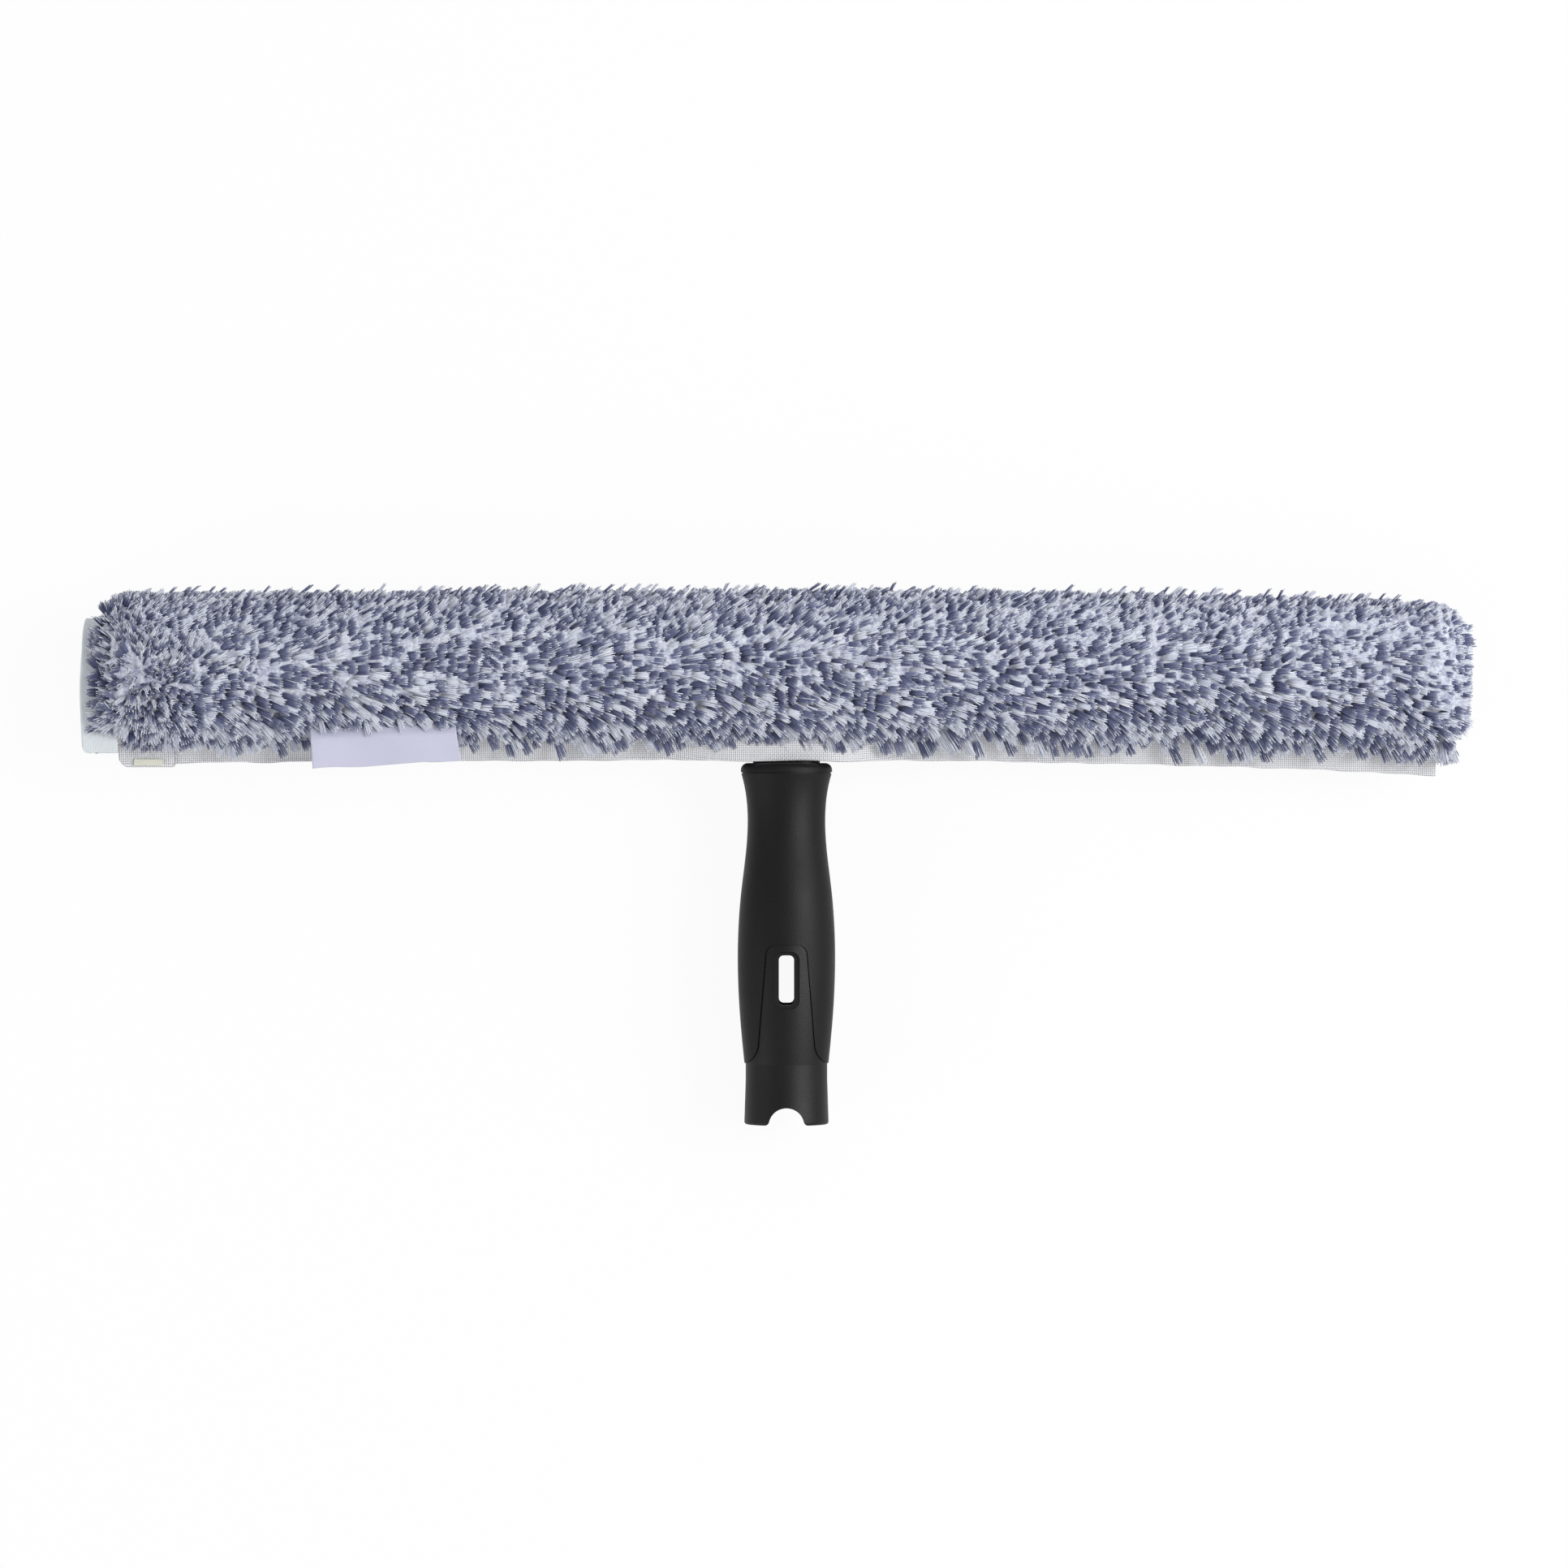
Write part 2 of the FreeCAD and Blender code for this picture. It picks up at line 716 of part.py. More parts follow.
def add_right_end_panel():
    body = new_body("right_end_panel")
    section = new_sketch(body, "YZ_Plane", "panel_outline", panel_left)
    stadium(section, bar_middle, cloth_half_height, cloth_half_depth)
    pad(body, section, "panel", "panel_thickness")


def cuff_corners(grow):
    """Arched outline of the cuff, open below, larger by grow on every side."""
    half_depth = f"({cloth_half_depth} + {grow})"
    top = f"({bar_middle} + {cloth_half_height} + {grow})"
    bend = f"({bar_middle} + {cloth_half_height} - {cloth_half_depth})"
    bottom = f"({bar_bottom} - cuff_drop)"
    corners = [
        (bottom, f"0 - {half_depth}"),
        (bend, f"0 - {half_depth}"),
        (top, "0"),
        (bend, half_depth),
        (bottom, half_depth),
    ]
    return corners, half_depth


def add_left_cuff():
    body = new_body("left_cuff")
    outer, outer_depth = cuff_corners("0")
    inner, inner_depth = cuff_corners("(0 - cloth_thickness)")
    section = new_sketch(body, "YZ_Plane", "cuff_section", f"{cloth_left} - seam_gap")
    outline(
        section,
        outer + inner[::-1],
        {1: (outer_depth, 1), 2: (outer_depth, 1), 6: (inner_depth, -1), 7: (inner_depth, -1)},
    )
    pad(body, section, "cuff", "cuff_length", backwards=True)


def add_pile_sleeve():
    body = new_body("pile_sleeve")
    left = f"({cloth_left} - pile_left)"
    panel_right = f"({panel_left} + panel_thickness)"
    right = f"({panel_right} + pile_right)"
    middle = f"({bar_middle} + (pile_top - pile_bottom) / 2)"
    half_height = f"({cloth_half_height} + (pile_top + pile_bottom) / 2)"
    form = new_sketch(body, "YZ_Plane", "pile_section", left)
    stadium(form, middle, half_height, f"{cloth_half_depth} + pile_face")
    pad(body, form, "pile", f"{right} - {left}")
    round_edges(body, "left_rim", "pile_left_round", edge_lies_at("X", left))
    round_edges(body, "right_rim", "pile_right_round", edge_lies_at("X", right))

    hollow = stadium(
        new_sketch(body, "YZ_Plane", "hollow_outline", left),
        bar_middle,
        f"{cloth_half_height} + seam_gap",
        f"{cloth_half_depth} + seam_gap",
    )
    pocket(body, hollow, "hollow", f"{panel_right} + seam_gap - {left}", backwards=True)
    slit = slit_outline(body, f"{slit_half} + pile_slit_room", left)
    pocket(body, slit, "slit", f"{hem_right_end} + seam_gap - {left}", backwards=True)

    corners, half_depth = cuff_corners("seam_gap")
    seat = new_sketch(body, "YZ_Plane", "cuff_seat_outline", left)
    low = f"{middle} - {half_height} - overrun"
    corners[0] = (low, corners[0][1])
    corners[-1] = (low, corners[-1][1])
    outline(seat, corners, {1: (half_depth, 1), 2: (half_depth, 1)})
    pocket(body, seat, "cuff_seat", "pile_left", backwards=True)

    rise = "(label_width * sin(label_tilt))"
    recess = rectangle(
        new_sketch(body, "XY_Plane", "label_recess_outline", f"{label_back} - seam_gap"),
        "0 - label_left - label_room",
        "0 - label_left + label_width + label_room",
        f"{middle} - {half_height} - overrun",
        f"{label_bottom} + label_height + {rise} + seam_gap",
    )
    pocket(body, recess, "label_recess", backwards=True)


def add_feature(label, shape):
    feature = doc.addObject("Part::Feature", label)
    feature.Label = label
    feature.Shape = shape
    feature.Placement = FreeCAD.Placement()
    sub_parts.append(feature)
    return feature


def hem_wire():
    """Plan of a hem's hanging edge: straight along the slit, and bowed round the neck by tangent arcs."""
    thickness = value("hem_thickness")
    away = value("hem_room + hem_thickness / 2")
    near = value(f"{neck_depth} / 2 + hem_neck_room + hem_thickness / 2")
    neck_half = value("neck_width / 2 + hem_neck_margin")
    run = value("hem_bow")
    turn = 2 * math.atan2(near - away, run)
    radius = run / (2 * math.sin(turn))
    low = value(hem_bottom)
    left, right = value(hem_left_end), value(hem_right_end)

    def spot(across, up):
        return FreeCAD.Vector(across, low, up)

    def bends(side, shift):
        """Points of the two arcs on one side, from the neck outwards, at a distance from the middle line."""
        inner = radius + shift
        outer = radius - shift
        points = []
        for share in (0, 0.5, 1):
            across = neck_half + inner * math.sin(turn * share)
            points.append(spot(side * across, near - radius + inner * math.cos(turn * share)))
        for share in (0.5, 0):
            across = neck_half + run - outer * math.sin(turn * share)
            points.append(spot(side * across, away + radius - outer * math.cos(turn * share)))
        return points

    def edge_run(shift):
        """Edges of one face, from the left end to the right one."""
        over, right_bends = bends(-1, shift)[::-1], bends(1, shift)
        edges = [Part.makeLine(spot(left, away + shift), over[0])]
        edges += [Part.Arc(*over[0:3]).toShape(), Part.Arc(*over[2:5]).toShape()]
        edges.append(Part.makeLine(over[4], right_bends[0]))
        edges += [Part.Arc(*right_bends[0:3]).toShape(), Part.Arc(*right_bends[2:5]).toShape()]
        edges.append(Part.makeLine(right_bends[4], spot(right, away + shift)))
        return edges

    front, back = edge_run(thickness / 2), edge_run(-thickness / 2)
    ends = []
    for across in (left, right):
        ends.append(Part.makeLine(spot(across, away - thickness / 2), spot(across, away + thickness / 2)))
    flange = Part.Wire(Part.__sortEdges__(front + back + ends))
    closing = Part.makeLine(spot(left, 0), spot(right, 0))
    sides = []
    for across in (left, right):
        sides.append(Part.makeLine(spot(across, 0), spot(across, away - thickness / 2)))
    eye = Part.Wire(Part.__sortEdges__(back + [closing] + sides))
    return flange, eye


def tube_solid(grow):
    """The cloth tube's outer form, larger by grow, over the length of the hems."""
    half_depth = value(cloth_half_depth) + grow
    left = value(hem_left_end)
    length = value(hem_right_end) - left
    box = Part.makeBox(
        length,
        value("bar_height - bar_depth"),
        2 * half_depth,
        FreeCAD.Vector(left, value(arc_middle), -half_depth),
    )
    along = FreeCAD.Vector(1, 0, 0)
    solid = box
    for height in (value(arc_middle), value(arc_middle) + value("bar_height - bar_depth")):
        end = Part.makeCylinder(half_depth, length, FreeCAD.Vector(left, height, 0), along)
        solid = solid.fuse(end)
    return solid


def add_hems():
    """Each hem is the strip of tube beside the slit with a hanging edge. The rear one is the mirror image."""
    flange_wire, eye_wire = hem_wire()
    rise = FreeCAD.Vector(0, value(f"{arc_middle} - {hem_bottom}"), 0)
    flange = Part.Face(flange_wire).extrude(rise)
    eye = Part.Face(eye_wire).extrude(rise)
    tube = tube_solid(0)
    bore = tube_solid(-value("cloth_thickness"))
    ring = tube.cut(bore)
    left = value(hem_left_end)
    length = value(hem_right_end) - left
    edge = value(f"{slit_half} - seam_gap")
    below = value(arc_middle) - value(hem_bottom)
    strip = Part.makeBox(length, below, edge, FreeCAD.Vector(left, value(hem_bottom), 0))
    beyond = Part.makeBox(length, below, edge, FreeCAD.Vector(left, value(hem_bottom), edge))
    web = ring.common(strip).cut(eye)
    hanging = flange.cut(bore).cut(tube_solid(value("seam_gap")).common(beyond))
    front = hanging.fuse(web).removeSplitter()
    solid = max(front.Solids, key=lambda piece: piece.Volume)
    add_feature("front_hem", solid)
    add_feature("rear_hem", solid.mirror(FreeCAD.Vector(0, 0, 0), FreeCAD.Vector(0, 0, 1)))


def add_tape(label, side):
    """Closure strips on one hem, left and right of the bow."""
    bow_end = "(neck_width / 2 + hem_neck_margin + hem_bow)"
    runs = [
        (f"{hem_left_end} + tape_margin", f"0 - {bow_end} - tape_margin"),
        (f"{bow_end} + tape_margin", f"{hem_right_end} - tape_margin"),
    ]
    thickness = "(hem_room - 2 * tape_clearance)"
    strips = []
    for number, (left, right) in enumerate(runs, start=1):
        strip = doc.addObject("Part::Box", f"{label}_strip_{number}")
        bind(strip, "Length", f"{right} - ({left})")
        bind(strip, "Width", f"{bar_bottom} - cloth_gap - cloth_thickness - {hem_bottom} - 2 * tape_edge")
        bind(strip, "Height", thickness)
        bind(strip, "Placement.Base.x", left)
        bind(strip, "Placement.Base.y", f"{hem_bottom} + tape_edge")
        bind(strip, "Placement.Base.z", "tape_clearance" if side > 0 else f"0 - tape_clearance - {thickness}")
        strips.append(strip)
    group = doc.addObject("Part::Compound", label)
    group.Label = label
    group.Links = strips
    sub_parts.append(group)


def add_sewn_label():
    label = doc.addObject("Part::Box", "sewn_label")
    label.Label = "sewn_label"
    bind(label, "Length", "label_width")
    bind(label, "Width", "label_height")
    bind(label, "Height", "label_thickness")
    label.Placement.Rotation = FreeCAD.Rotation(FreeCAD.Vector(0, 0, 1), value("label_tilt"))
    bind(label, "Placement.Rotation.Angle", "label_tilt")
    bind(label, "Placement.Base.x", "0 - label_left")
    bind(label, "Placement.Base.y", label_bottom)
    bind(label, "Placement.Base.z", label_back)
    sub_parts.append(label)


def add_closing_tab():
    """Strap hung from a bead under the rear hem, round the front of both hems."""
    left = f"({hem_left_end} + tab_left)"
    bead_up = "(0 - hem_room - hem_thickness / 2)"
    bead_along = f"({hem_bottom} - tab_gap - tab_bead)"
    inner = f"({hem_face} + tab_gap)"
    outer = f"({inner} + tab_thickness)"
    low = f"({bead_along} - tab_thickness / 2)"
    high = f"({bead_along} + tab_thickness / 2)"
    body = new_body("closing_tab")
    strap = outline(
        new_sketch(body, "YZ_Plane", "strap_section", left),
        [
            (low, bead_up),
            (low, outer),
            (f"{low} + tab_height", outer),
            (f"{low} + tab_height", inner),
            (high, inner),
            (high, bead_up),
        ],
    )
    pad(body, strap, "strap", "tab_width")
    bead = round_spot(new_sketch(body, "YZ_Plane", "bead_section", left), bead_along, bead_up, "tab_bead")
    pad(body, bead, "bead", "tab_width")

    patch = doc.addObject("Part::Box", "tab_hook_patch")
    patch.Label = "tab_hook_patch"
    bind(patch, "Length", "patch_width")
    bind(patch, "Width", "patch_height")
    bind(patch, "Height", "patch_thickness")
    bind(patch, "Placement.Base.x", f"{left} + patch_inset")
    bind(patch, "Placement.Base.y", low)
    bind(patch, "Placement.Base.z", outer)
    sub_parts.append(patch)


add_handle_core()
add_grip_overmould()
add_bar_shell("bar_front_shell", 1)
add_bar_shell("bar_rear_shell", -1)
add_shell_screws()
add_bumper("left_bumper", -1)
add_bumper("right_bumper", 1)
add_backing_cloth()
add_right_end_panel()
add_left_cuff()
add_pile_sleeve()
add_hems()
add_tape("loop_tape", 1)
add_tape("hook_tape", -1)
add_sewn_label()
add_closing_tab()
doc.recompute()

for thing in doc.Objects:
    if "Invalid" in thing.State or "Error" in thing.State:
        raise RuntimeError(f"{thing.Label} failed: {thing.State}")
for piece in sub_parts:
    if piece.Shape.isNull() or not piece.Shape.isValid():
        raise RuntimeError(f"{piece.Label} has no valid shape")

os.makedirs("parts", exist_ok=True)
for piece in sub_parts:
    piece.Shape.exportStep(f"parts/{piece.Label}.step")
    box = piece.Shape.optimalBoundingBox()
    print(
        f"{piece.Label}: {len(piece.Shape.Solids)} solids, {piece.Shape.Volume:.0f} mm3,"
        f" x {box.XMin:.1f} to {box.XMax:.1f}, y {box.YMin:.1f} to {box.YMax:.1f},"
        f" z {box.ZMin:.1f} to {box.ZMax:.1f}"
    )
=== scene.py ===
import math

import bpy
import numpy as np
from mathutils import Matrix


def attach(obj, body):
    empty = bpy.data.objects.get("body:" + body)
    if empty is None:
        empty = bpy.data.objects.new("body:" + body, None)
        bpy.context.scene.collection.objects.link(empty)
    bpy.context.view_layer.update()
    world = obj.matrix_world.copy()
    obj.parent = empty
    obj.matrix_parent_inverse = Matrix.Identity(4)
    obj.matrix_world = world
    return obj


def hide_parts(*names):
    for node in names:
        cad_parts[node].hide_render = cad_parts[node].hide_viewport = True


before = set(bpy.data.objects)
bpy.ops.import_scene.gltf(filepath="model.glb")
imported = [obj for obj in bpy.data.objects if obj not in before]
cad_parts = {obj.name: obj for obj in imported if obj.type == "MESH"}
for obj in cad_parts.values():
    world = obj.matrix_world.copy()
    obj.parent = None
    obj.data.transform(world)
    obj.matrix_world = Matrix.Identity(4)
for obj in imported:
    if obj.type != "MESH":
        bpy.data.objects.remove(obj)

scene = bpy.context.scene
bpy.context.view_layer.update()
print("frame loaded:", len(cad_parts), "nodes")

# shapes are worked out in millimetres and put into the meshes in metres


def newPiece(name, points, corners, counts, places, material):
    # one run of corner numbers with the corner count of each face, and a map place for each point
    mesh = bpy.data.meshes.new(name)
    mesh.vertices.add(len(points))
    mesh.vertices.foreach_set("co", (points * 0.001).astype(np.float32).ravel())
    mesh.loops.add(len(corners))
    mesh.loops.foreach_set("vertex_index", corners.astype(np.int32))
    mesh.polygons.add(len(counts))
    starts = np.concatenate([[0], np.cumsum(counts)[:-1]])
    mesh.polygons.foreach_set("loop_start", starts.astype(np.int32))
    mesh.update(calc_edges=True)
    mesh.polygons.foreach_set("use_smooth", np.full(len(counts), True))
    layer = mesh.uv_layers.new(name="OFBake")
    layer.uv.foreach_set("vector", places[corners].astype(np.float32).ravel())
    mesh.validate()
    mesh.materials.append(material)
    piece = bpy.data.objects.new(name, mesh)
    scene.collection.objects.link(piece)
    return piece


def gridPiece(name, points, places, material, thickness=0, offset=0):
    # quads between neighbouring points of a grid, with a wall to both sides unless it is offset
    rows, columns = points.shape[:2]
    number = np.arange(rows * columns).reshape(rows, columns)
    quads = np.stack([number[:-1, :-1], number[:-1, 1:], number[1:, 1:], number[1:, :-1]], -1)
    counts = np.full((rows - 1) * (columns - 1), 4)
    points, places = points.reshape(-1, 3), places.reshape(-1, 2)
    piece = newPiece(name, points, quads.reshape(-1), counts, places, material)
    if thickness:
        wall = piece.modifiers.new("wall", "SOLIDIFY")
        wall.thickness = thickness * 0.001
        wall.offset = offset
        wall.use_even_offset = True
    return piece


def dress(piece, body, slot, *nodes):
    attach(piece, body)
    if nodes:
        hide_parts(*nodes)
    return piece


def joined(*parts):
    # coordinates side by side, each an array or one number for all
    return np.stack(np.broadcast_arrays(*parts), -1)


def spans(left, right, columns, low, high, rows):
    # an even grid: what runs across it, and what runs up
    return np.meshgrid(np.linspace(left, right, columns), np.linspace(low, high, rows))


def rise(amount, start, run):
    # climbs smoothly from 0 at the start to 1 at the end of the run
    share = np.clip((amount - start) / run, 0, 1)
    return share * share * (3 - 2 * share)


def fall(amount, end, run):
    # comes down smoothly over the run, from 1 to 0 at its end
    return rise(-amount, -end, run)


def cornerCut(distance, radius):
    # how far a quarter circle draws a corner in, at a distance from the edge
    return radius * (1 - np.sqrt(1 - np.clip(1 - distance / radius, 0, 1) ** 2))


def ripples(along, across, seed, shortest, longest, waves=14):
    # a smooth uneven field about 0: plane waves of drawn lengths, directions and phases, added up
    draw = np.random.default_rng(seed)
    length = draw.uniform(shortest, longest, waves)
    turn = draw.uniform(0, 2 * math.pi, waves)
    phase = draw.uniform(0, 2 * math.pi, waves)
    total = np.zeros(np.broadcast(along, across).shape)
    for one in range(waves):
        run = (along * math.cos(turn[one]) + across * math.sin(turn[one])) / length[one]
        total = total + np.sin(2 * math.pi * run + phase[one])
    return total / math.sqrt(waves)


def unit(vectors):
    return vectors / np.maximum(np.linalg.norm(vectors, axis=-1, keepdims=True), 1e-9)


def tint(red, green, blue):
    # a colour as an image editor shows it, made linear
    parts = [part / 255 for part in (red, green, blue)]
    bright = [((part + 0.055) / 1.055) ** 2.4 for part in parts]
    return (*[part / 12.92 if part <= 0.04045 else lit for part, lit in zip(parts, bright)], 1)


def grey(value):
    return (value, value, value, 1)


def plug(tree, made, key, part):
    # a number or colour is set, a socket is linked
    if isinstance(part, (int, float, tuple)):
        made.inputs[key].default_value = part
    else:
        tree.links.new(part, made.inputs[key])


def addNode(tree, kind, inputs=None, **settings):
    made = tree.nodes.new(kind)
    for key, setting in settings.items():
        setattr(made, key, setting)
    for key, part in (inputs or {}).items():
        plug(tree, made, key, part)
    return made


def sums(tree, operation, first, second=0):
    return addNode(tree, "ShaderNodeMath", {0: first, 1: second}, operation=operation).outputs[0]


def blended(tree, share, first, second, how="MIX"):
    inputs = {0: share, 6: first, 7: second}  # the sockets of a colour mix
    return addNode(tree, "ShaderNodeMix", inputs, data_type="RGBA", blend_type=how).outputs[2]


def ramp(tree, source, stops):
    made = addNode(tree, "ShaderNodeValToRGB", {"Fac": source})
    bar = made.color_ramp.elements
    while len(bar) < len(stops):
        bar.new(0.5)
    for stop, (place, colour) in zip(bar, stops):
        stop.position = place
        stop.color = colour
    return made.outputs["Color"]


def objectPlace(tree):
    return addNode(tree, "ShaderNodeTexCoord").outputs["Object"]


def noise(tree, place, scale, detail, roughness=0.5):
    inputs = {"Vector": place, "Scale": scale, "Detail": detail, "Roughness": roughness}
    return addNode(tree, "ShaderNodeTexNoise", inputs).outputs["Fac"]


def ownMap(tree):
    # both directions of the piece's own map
    own = addNode(tree, "ShaderNodeUVMap", uv_map="OFBake")
    split = addNode(tree, "ShaderNodeSeparateXYZ", {"Vector": own.outputs["UV"]})
    return split.outputs["X"], split.outputs["Y"]


def startMaterial(name, roughness=0.5, sheen=0, specular=0.5):
    material = bpy.data.materials.new(name)
    material.use_nodes = True
    tree = material.node_tree
    shader = tree.nodes["Principled BSDF"]
    plug(tree, shader, "Roughness", roughness)
    plug(tree, shader, "Sheen Weight", sheen)
    plug(tree, shader, "Specular IOR Level", specular)
    return material, tree, shader


def addBump(tree, shader, height, distance):
    inputs = {"Height": height, "Distance": distance, "Strength": 1}
    plug(tree, shader, "Normal", addNode(tree, "ShaderNodeBump", inputs).outputs["Normal"])


def mouldedPlastic(name, dark, light, roughness, grain, depth, specular):
    # spark-eroded moulding: a fine grain in bump and tone, and broad uneven gloss
    material, tree, shader = startMaterial(name, specular=specular)
    place = objectPlace(tree)
    fine = noise(tree, place, grain, 3, 0.6)
    broad = noise(tree, place, 55, 4, 0.55)
    finePart = sums(tree, "MULTIPLY", fine, 0.65)
    mottled = sums(tree, "ADD", finePart, sums(tree, "MULTIPLY", broad, 0.35))
    tone = ramp(tree, mottled, [(0.3, tint(*dark)), (0.72, tint(*light))])
    gloss = ramp(tree, broad, [(0.3, grey(roughness - 0.05)), (0.7, grey(roughness + 0.06))])
    plug(tree, shader, "Base Color", tone)
    plug(tree, shader, "Roughness", gloss)
    addBump(tree, shader, fine, depth)
    return material


def wovenCloth(name, gap, thread, across, along, ribbed, depth, roughness=0.85, sheen=0.2):
    # threads counted per tile of the piece's own map; warp and weft bulge in turn where they pass
    # over each other, and the gaps between them are greyer
    material, tree, shader = startMaterial(name, roughness, sheen, 0.25)

    def calc(operation, first, second=0):
        return sums(tree, operation, first, second)

    def roundThread(threads):
        return calc("ABSOLUTE", calc("SINE", calc("MULTIPLY", threads, math.pi)))

    mapAcross, mapAlong = ownMap(tree)
    warp = calc("MULTIPLY", mapAcross, float(across))
    weft = calc("MULTIPLY", mapAlong, float(along))
    warpRound, weftRound = roundThread(warp), roundThread(weft)
    crossing = calc("ADD", calc("FLOOR", warp), calc("FLOOR", weft))
    over = calc("ABSOLUTE", calc("SUBTRACT", calc("MODULO", crossing, 2), 1))  # 0 and 1 in turn
    warpOver = calc("ADD", calc("MULTIPLY", over, 0.45 - 0.3 * ribbed), 0.55 + 0.3 * ribbed)
    weftOver = calc("SUBTRACT", 1 - 0.45 * ribbed, calc("MULTIPLY", over, 0.45))
    warpLift = calc("MULTIPLY", warpRound, warpOver)
    weftLift = calc("MULTIPLY", weftRound, weftOver)
    bothRound = calc("ADD", warpRound, calc("MULTIPLY", weftRound, 1 - 0.4 * ribbed))
    weave = ramp(tree, calc("MULTIPLY", bothRound, 0.5), [(0.15, gap), (0.72, thread)])
    soiled = noise(tree, objectPlace(tree), 70, 3)
    uneven = ramp(tree, soiled, [(0.3, grey(0.955)), (0.7, grey(1))])
    plug(tree, shader, "Base Color", blended(tree, 1, weave, uneven, "MULTIPLY"))
    addBump(tree, shader, calc("MAXIMUM", warpLift, weftLift), depth)
    return material


def nappedTape(name, low, high, scale, depth):
    # closure tape: a nap of loops or hooks as close cells
    material, tree, shader = startMaterial(name, roughness=0.8, sheen=0.15, specular=0.25)
    place = objectPlace(tree)
    inputs = {"Vector": place, "Scale": scale, "Randomness": 0.55}
    cells = addNode(tree, "ShaderNodeTexVoronoi", inputs).outputs["Distance"]
    fuzz = noise(tree, place, scale * 2.5, 2)
    height = sums(tree, "SUBTRACT", sums(tree, "MULTIPLY", fuzz, 0.5), cells)
    tone = ramp(tree, height, [(0, low), (0.45, high)])
    plug(tree, shader, "Base Color", tone)
    addBump(tree, shader, height, depth)
    return material


# camera straight above the middle of the photographed frame, far enough for a flat view
shot = {"lens": 150, "sensor": 36, "width": 515.07, "centre": (-0.8, 111.7), "clipEnd": 50}
lens = bpy.data.cameras.new("shotCamera")
lens.lens = shot["lens"]
lens.sensor_width = shot["sensor"]
lens.clip_end = shot["clipEnd"]
camera = bpy.data.objects.new("shotCamera", lens)
shotHeight = shot["width"] * 0.001 * shot["lens"] / shot["sensor"]
camera.location = (shot["centre"][0] * 0.001, shot["centre"][1] * 0.001, shotHeight)
scene.collection.objects.link(camera)
scene.camera = camera

studio = {
    "floorHeight": -18.3, "floorHalf": 4000, "floorGrey": 0.86,
    "worldStrength": 0.64, "worldSlope": 0.42,  # brighter to the right
    "whiteShare": 0.93,  # of what the camera sees of the floor
    "aim": (0, 0.11, 0),
    "keyLamp": ((1.4, 0.35, 1.3), 20.5, 0.8),  # place, power and size
    "sheenLamp": ((1.4, 0.35, 1.3), 37, 1.1),
    "fillLamp": ((-1.6, -0.75, 0.75), 11, 1),
}


def addLamp(name):
    place, power, size = studio[name]
    light = bpy.data.lights.new(name, "AREA")
    light.energy = power
    light.size = size
    lamp = bpy.data.objects.new(name, light)
    lamp.location = place
    way = np.subtract(studio["aim"], place)
    lamp.rotation_euler = (
        math.atan2(math.hypot(way[0], way[1]), -way[2]), 0, math.atan2(-way[0], way[1]),
    )
    scene.collection.objects.link(lamp)
    return lamp


addLamp("keyLamp")
addLamp("fillLamp")
addLamp("sheenLamp").visible_diffuse = False  # only for the soft highlight along the handle


def seenDirectly(tree):
    # 1 for what the camera sees, straight, mirrored or through glass
    path = addNode(tree, "ShaderNodeLightPath").outputs
    mirrored = sums(tree, "MAXIMUM", path["Is Glossy Ray"], path["Is Transmission Ray"])
    return sums(tree, "MAXIMUM", path["Is Camera Ray"], mirrored)


world = bpy.data.worlds.new("studioWorld")
scene.world = world
world.use_nodes = True
worldTree = world.node_tree
glow = worldTree.nodes["Background"]
plug(worldTree, glow, "Color", grey(1))
skyPlace = addNode(worldTree, "ShaderNodeTexCoord").outputs["Generated"]
skyAcross = addNode(worldTree, "ShaderNodeSeparateXYZ", {"Vector": skyPlace}).outputs["X"]
slope = sums(worldTree, "MULTIPLY", skyAcross, studio["worldStrength"] * studio["worldSlope"])
shining = sums(worldTree, "ADD", slope, studio["worldStrength"])
strength = sums(worldTree, "MAXIMUM", shining, seenDirectly(worldTree))
plug(worldTree, glow, "Strength", strength)

floorMaterial, floorTree, floorShader = startMaterial("paleFloor", roughness=0.9, specular=0)
plug(floorTree, floorShader, "Base Color", grey(studio["floorGrey"]))
floorGlow = addNode(floorTree, "ShaderNodeEmission", {"Color": grey(1), "Strength": 1})
whiteness = sums(floorTree, "MULTIPLY", seenDirectly(floorTree), studio["whiteShare"])
floorParts = {0: whiteness, 1: floorShader.outputs[0], 2: floorGlow.outputs[0]}
floorMix = addNode(floorTree, "ShaderNodeMixShader", floorParts)
plug(floorTree, floorTree.nodes["Material Output"], "Surface", floorMix.outputs[0])
half = studio["floorHalf"]
floorAcross, floorUp = spans(-half, half, 9, -half, half, 9)
floorPoints = joined(floorAcross, floorUp, studio["floorHeight"])
floor = gridPiece("studioFloor", floorPoints, floorPoints[:, :, :2] / 100, floorMaterial)
scene.view_settings.view_transform = "Standard"
print("camera, lights and floor set")


def scratchedSteel(name):
    # fine scratches in tone, gloss and bump
    material, tree, shader = startMaterial(name)
    plug(tree, shader, "Metallic", 1)
    scratch = noise(tree, objectPlace(tree), 1800, 4)
    tone = ramp(tree, scratch, [(0.3, tint(168, 170, 174)), (0.7, tint(204, 206, 210))])
    gloss = ramp(tree, scratch, [(0.3, grey(0.24)), (0.7, grey(0.42))])
    plug(tree, shader, "Base Color", tone)
    plug(tree, shader, "Roughness", gloss)
    addBump(tree, shader, scratch, 0.00002)
    return material


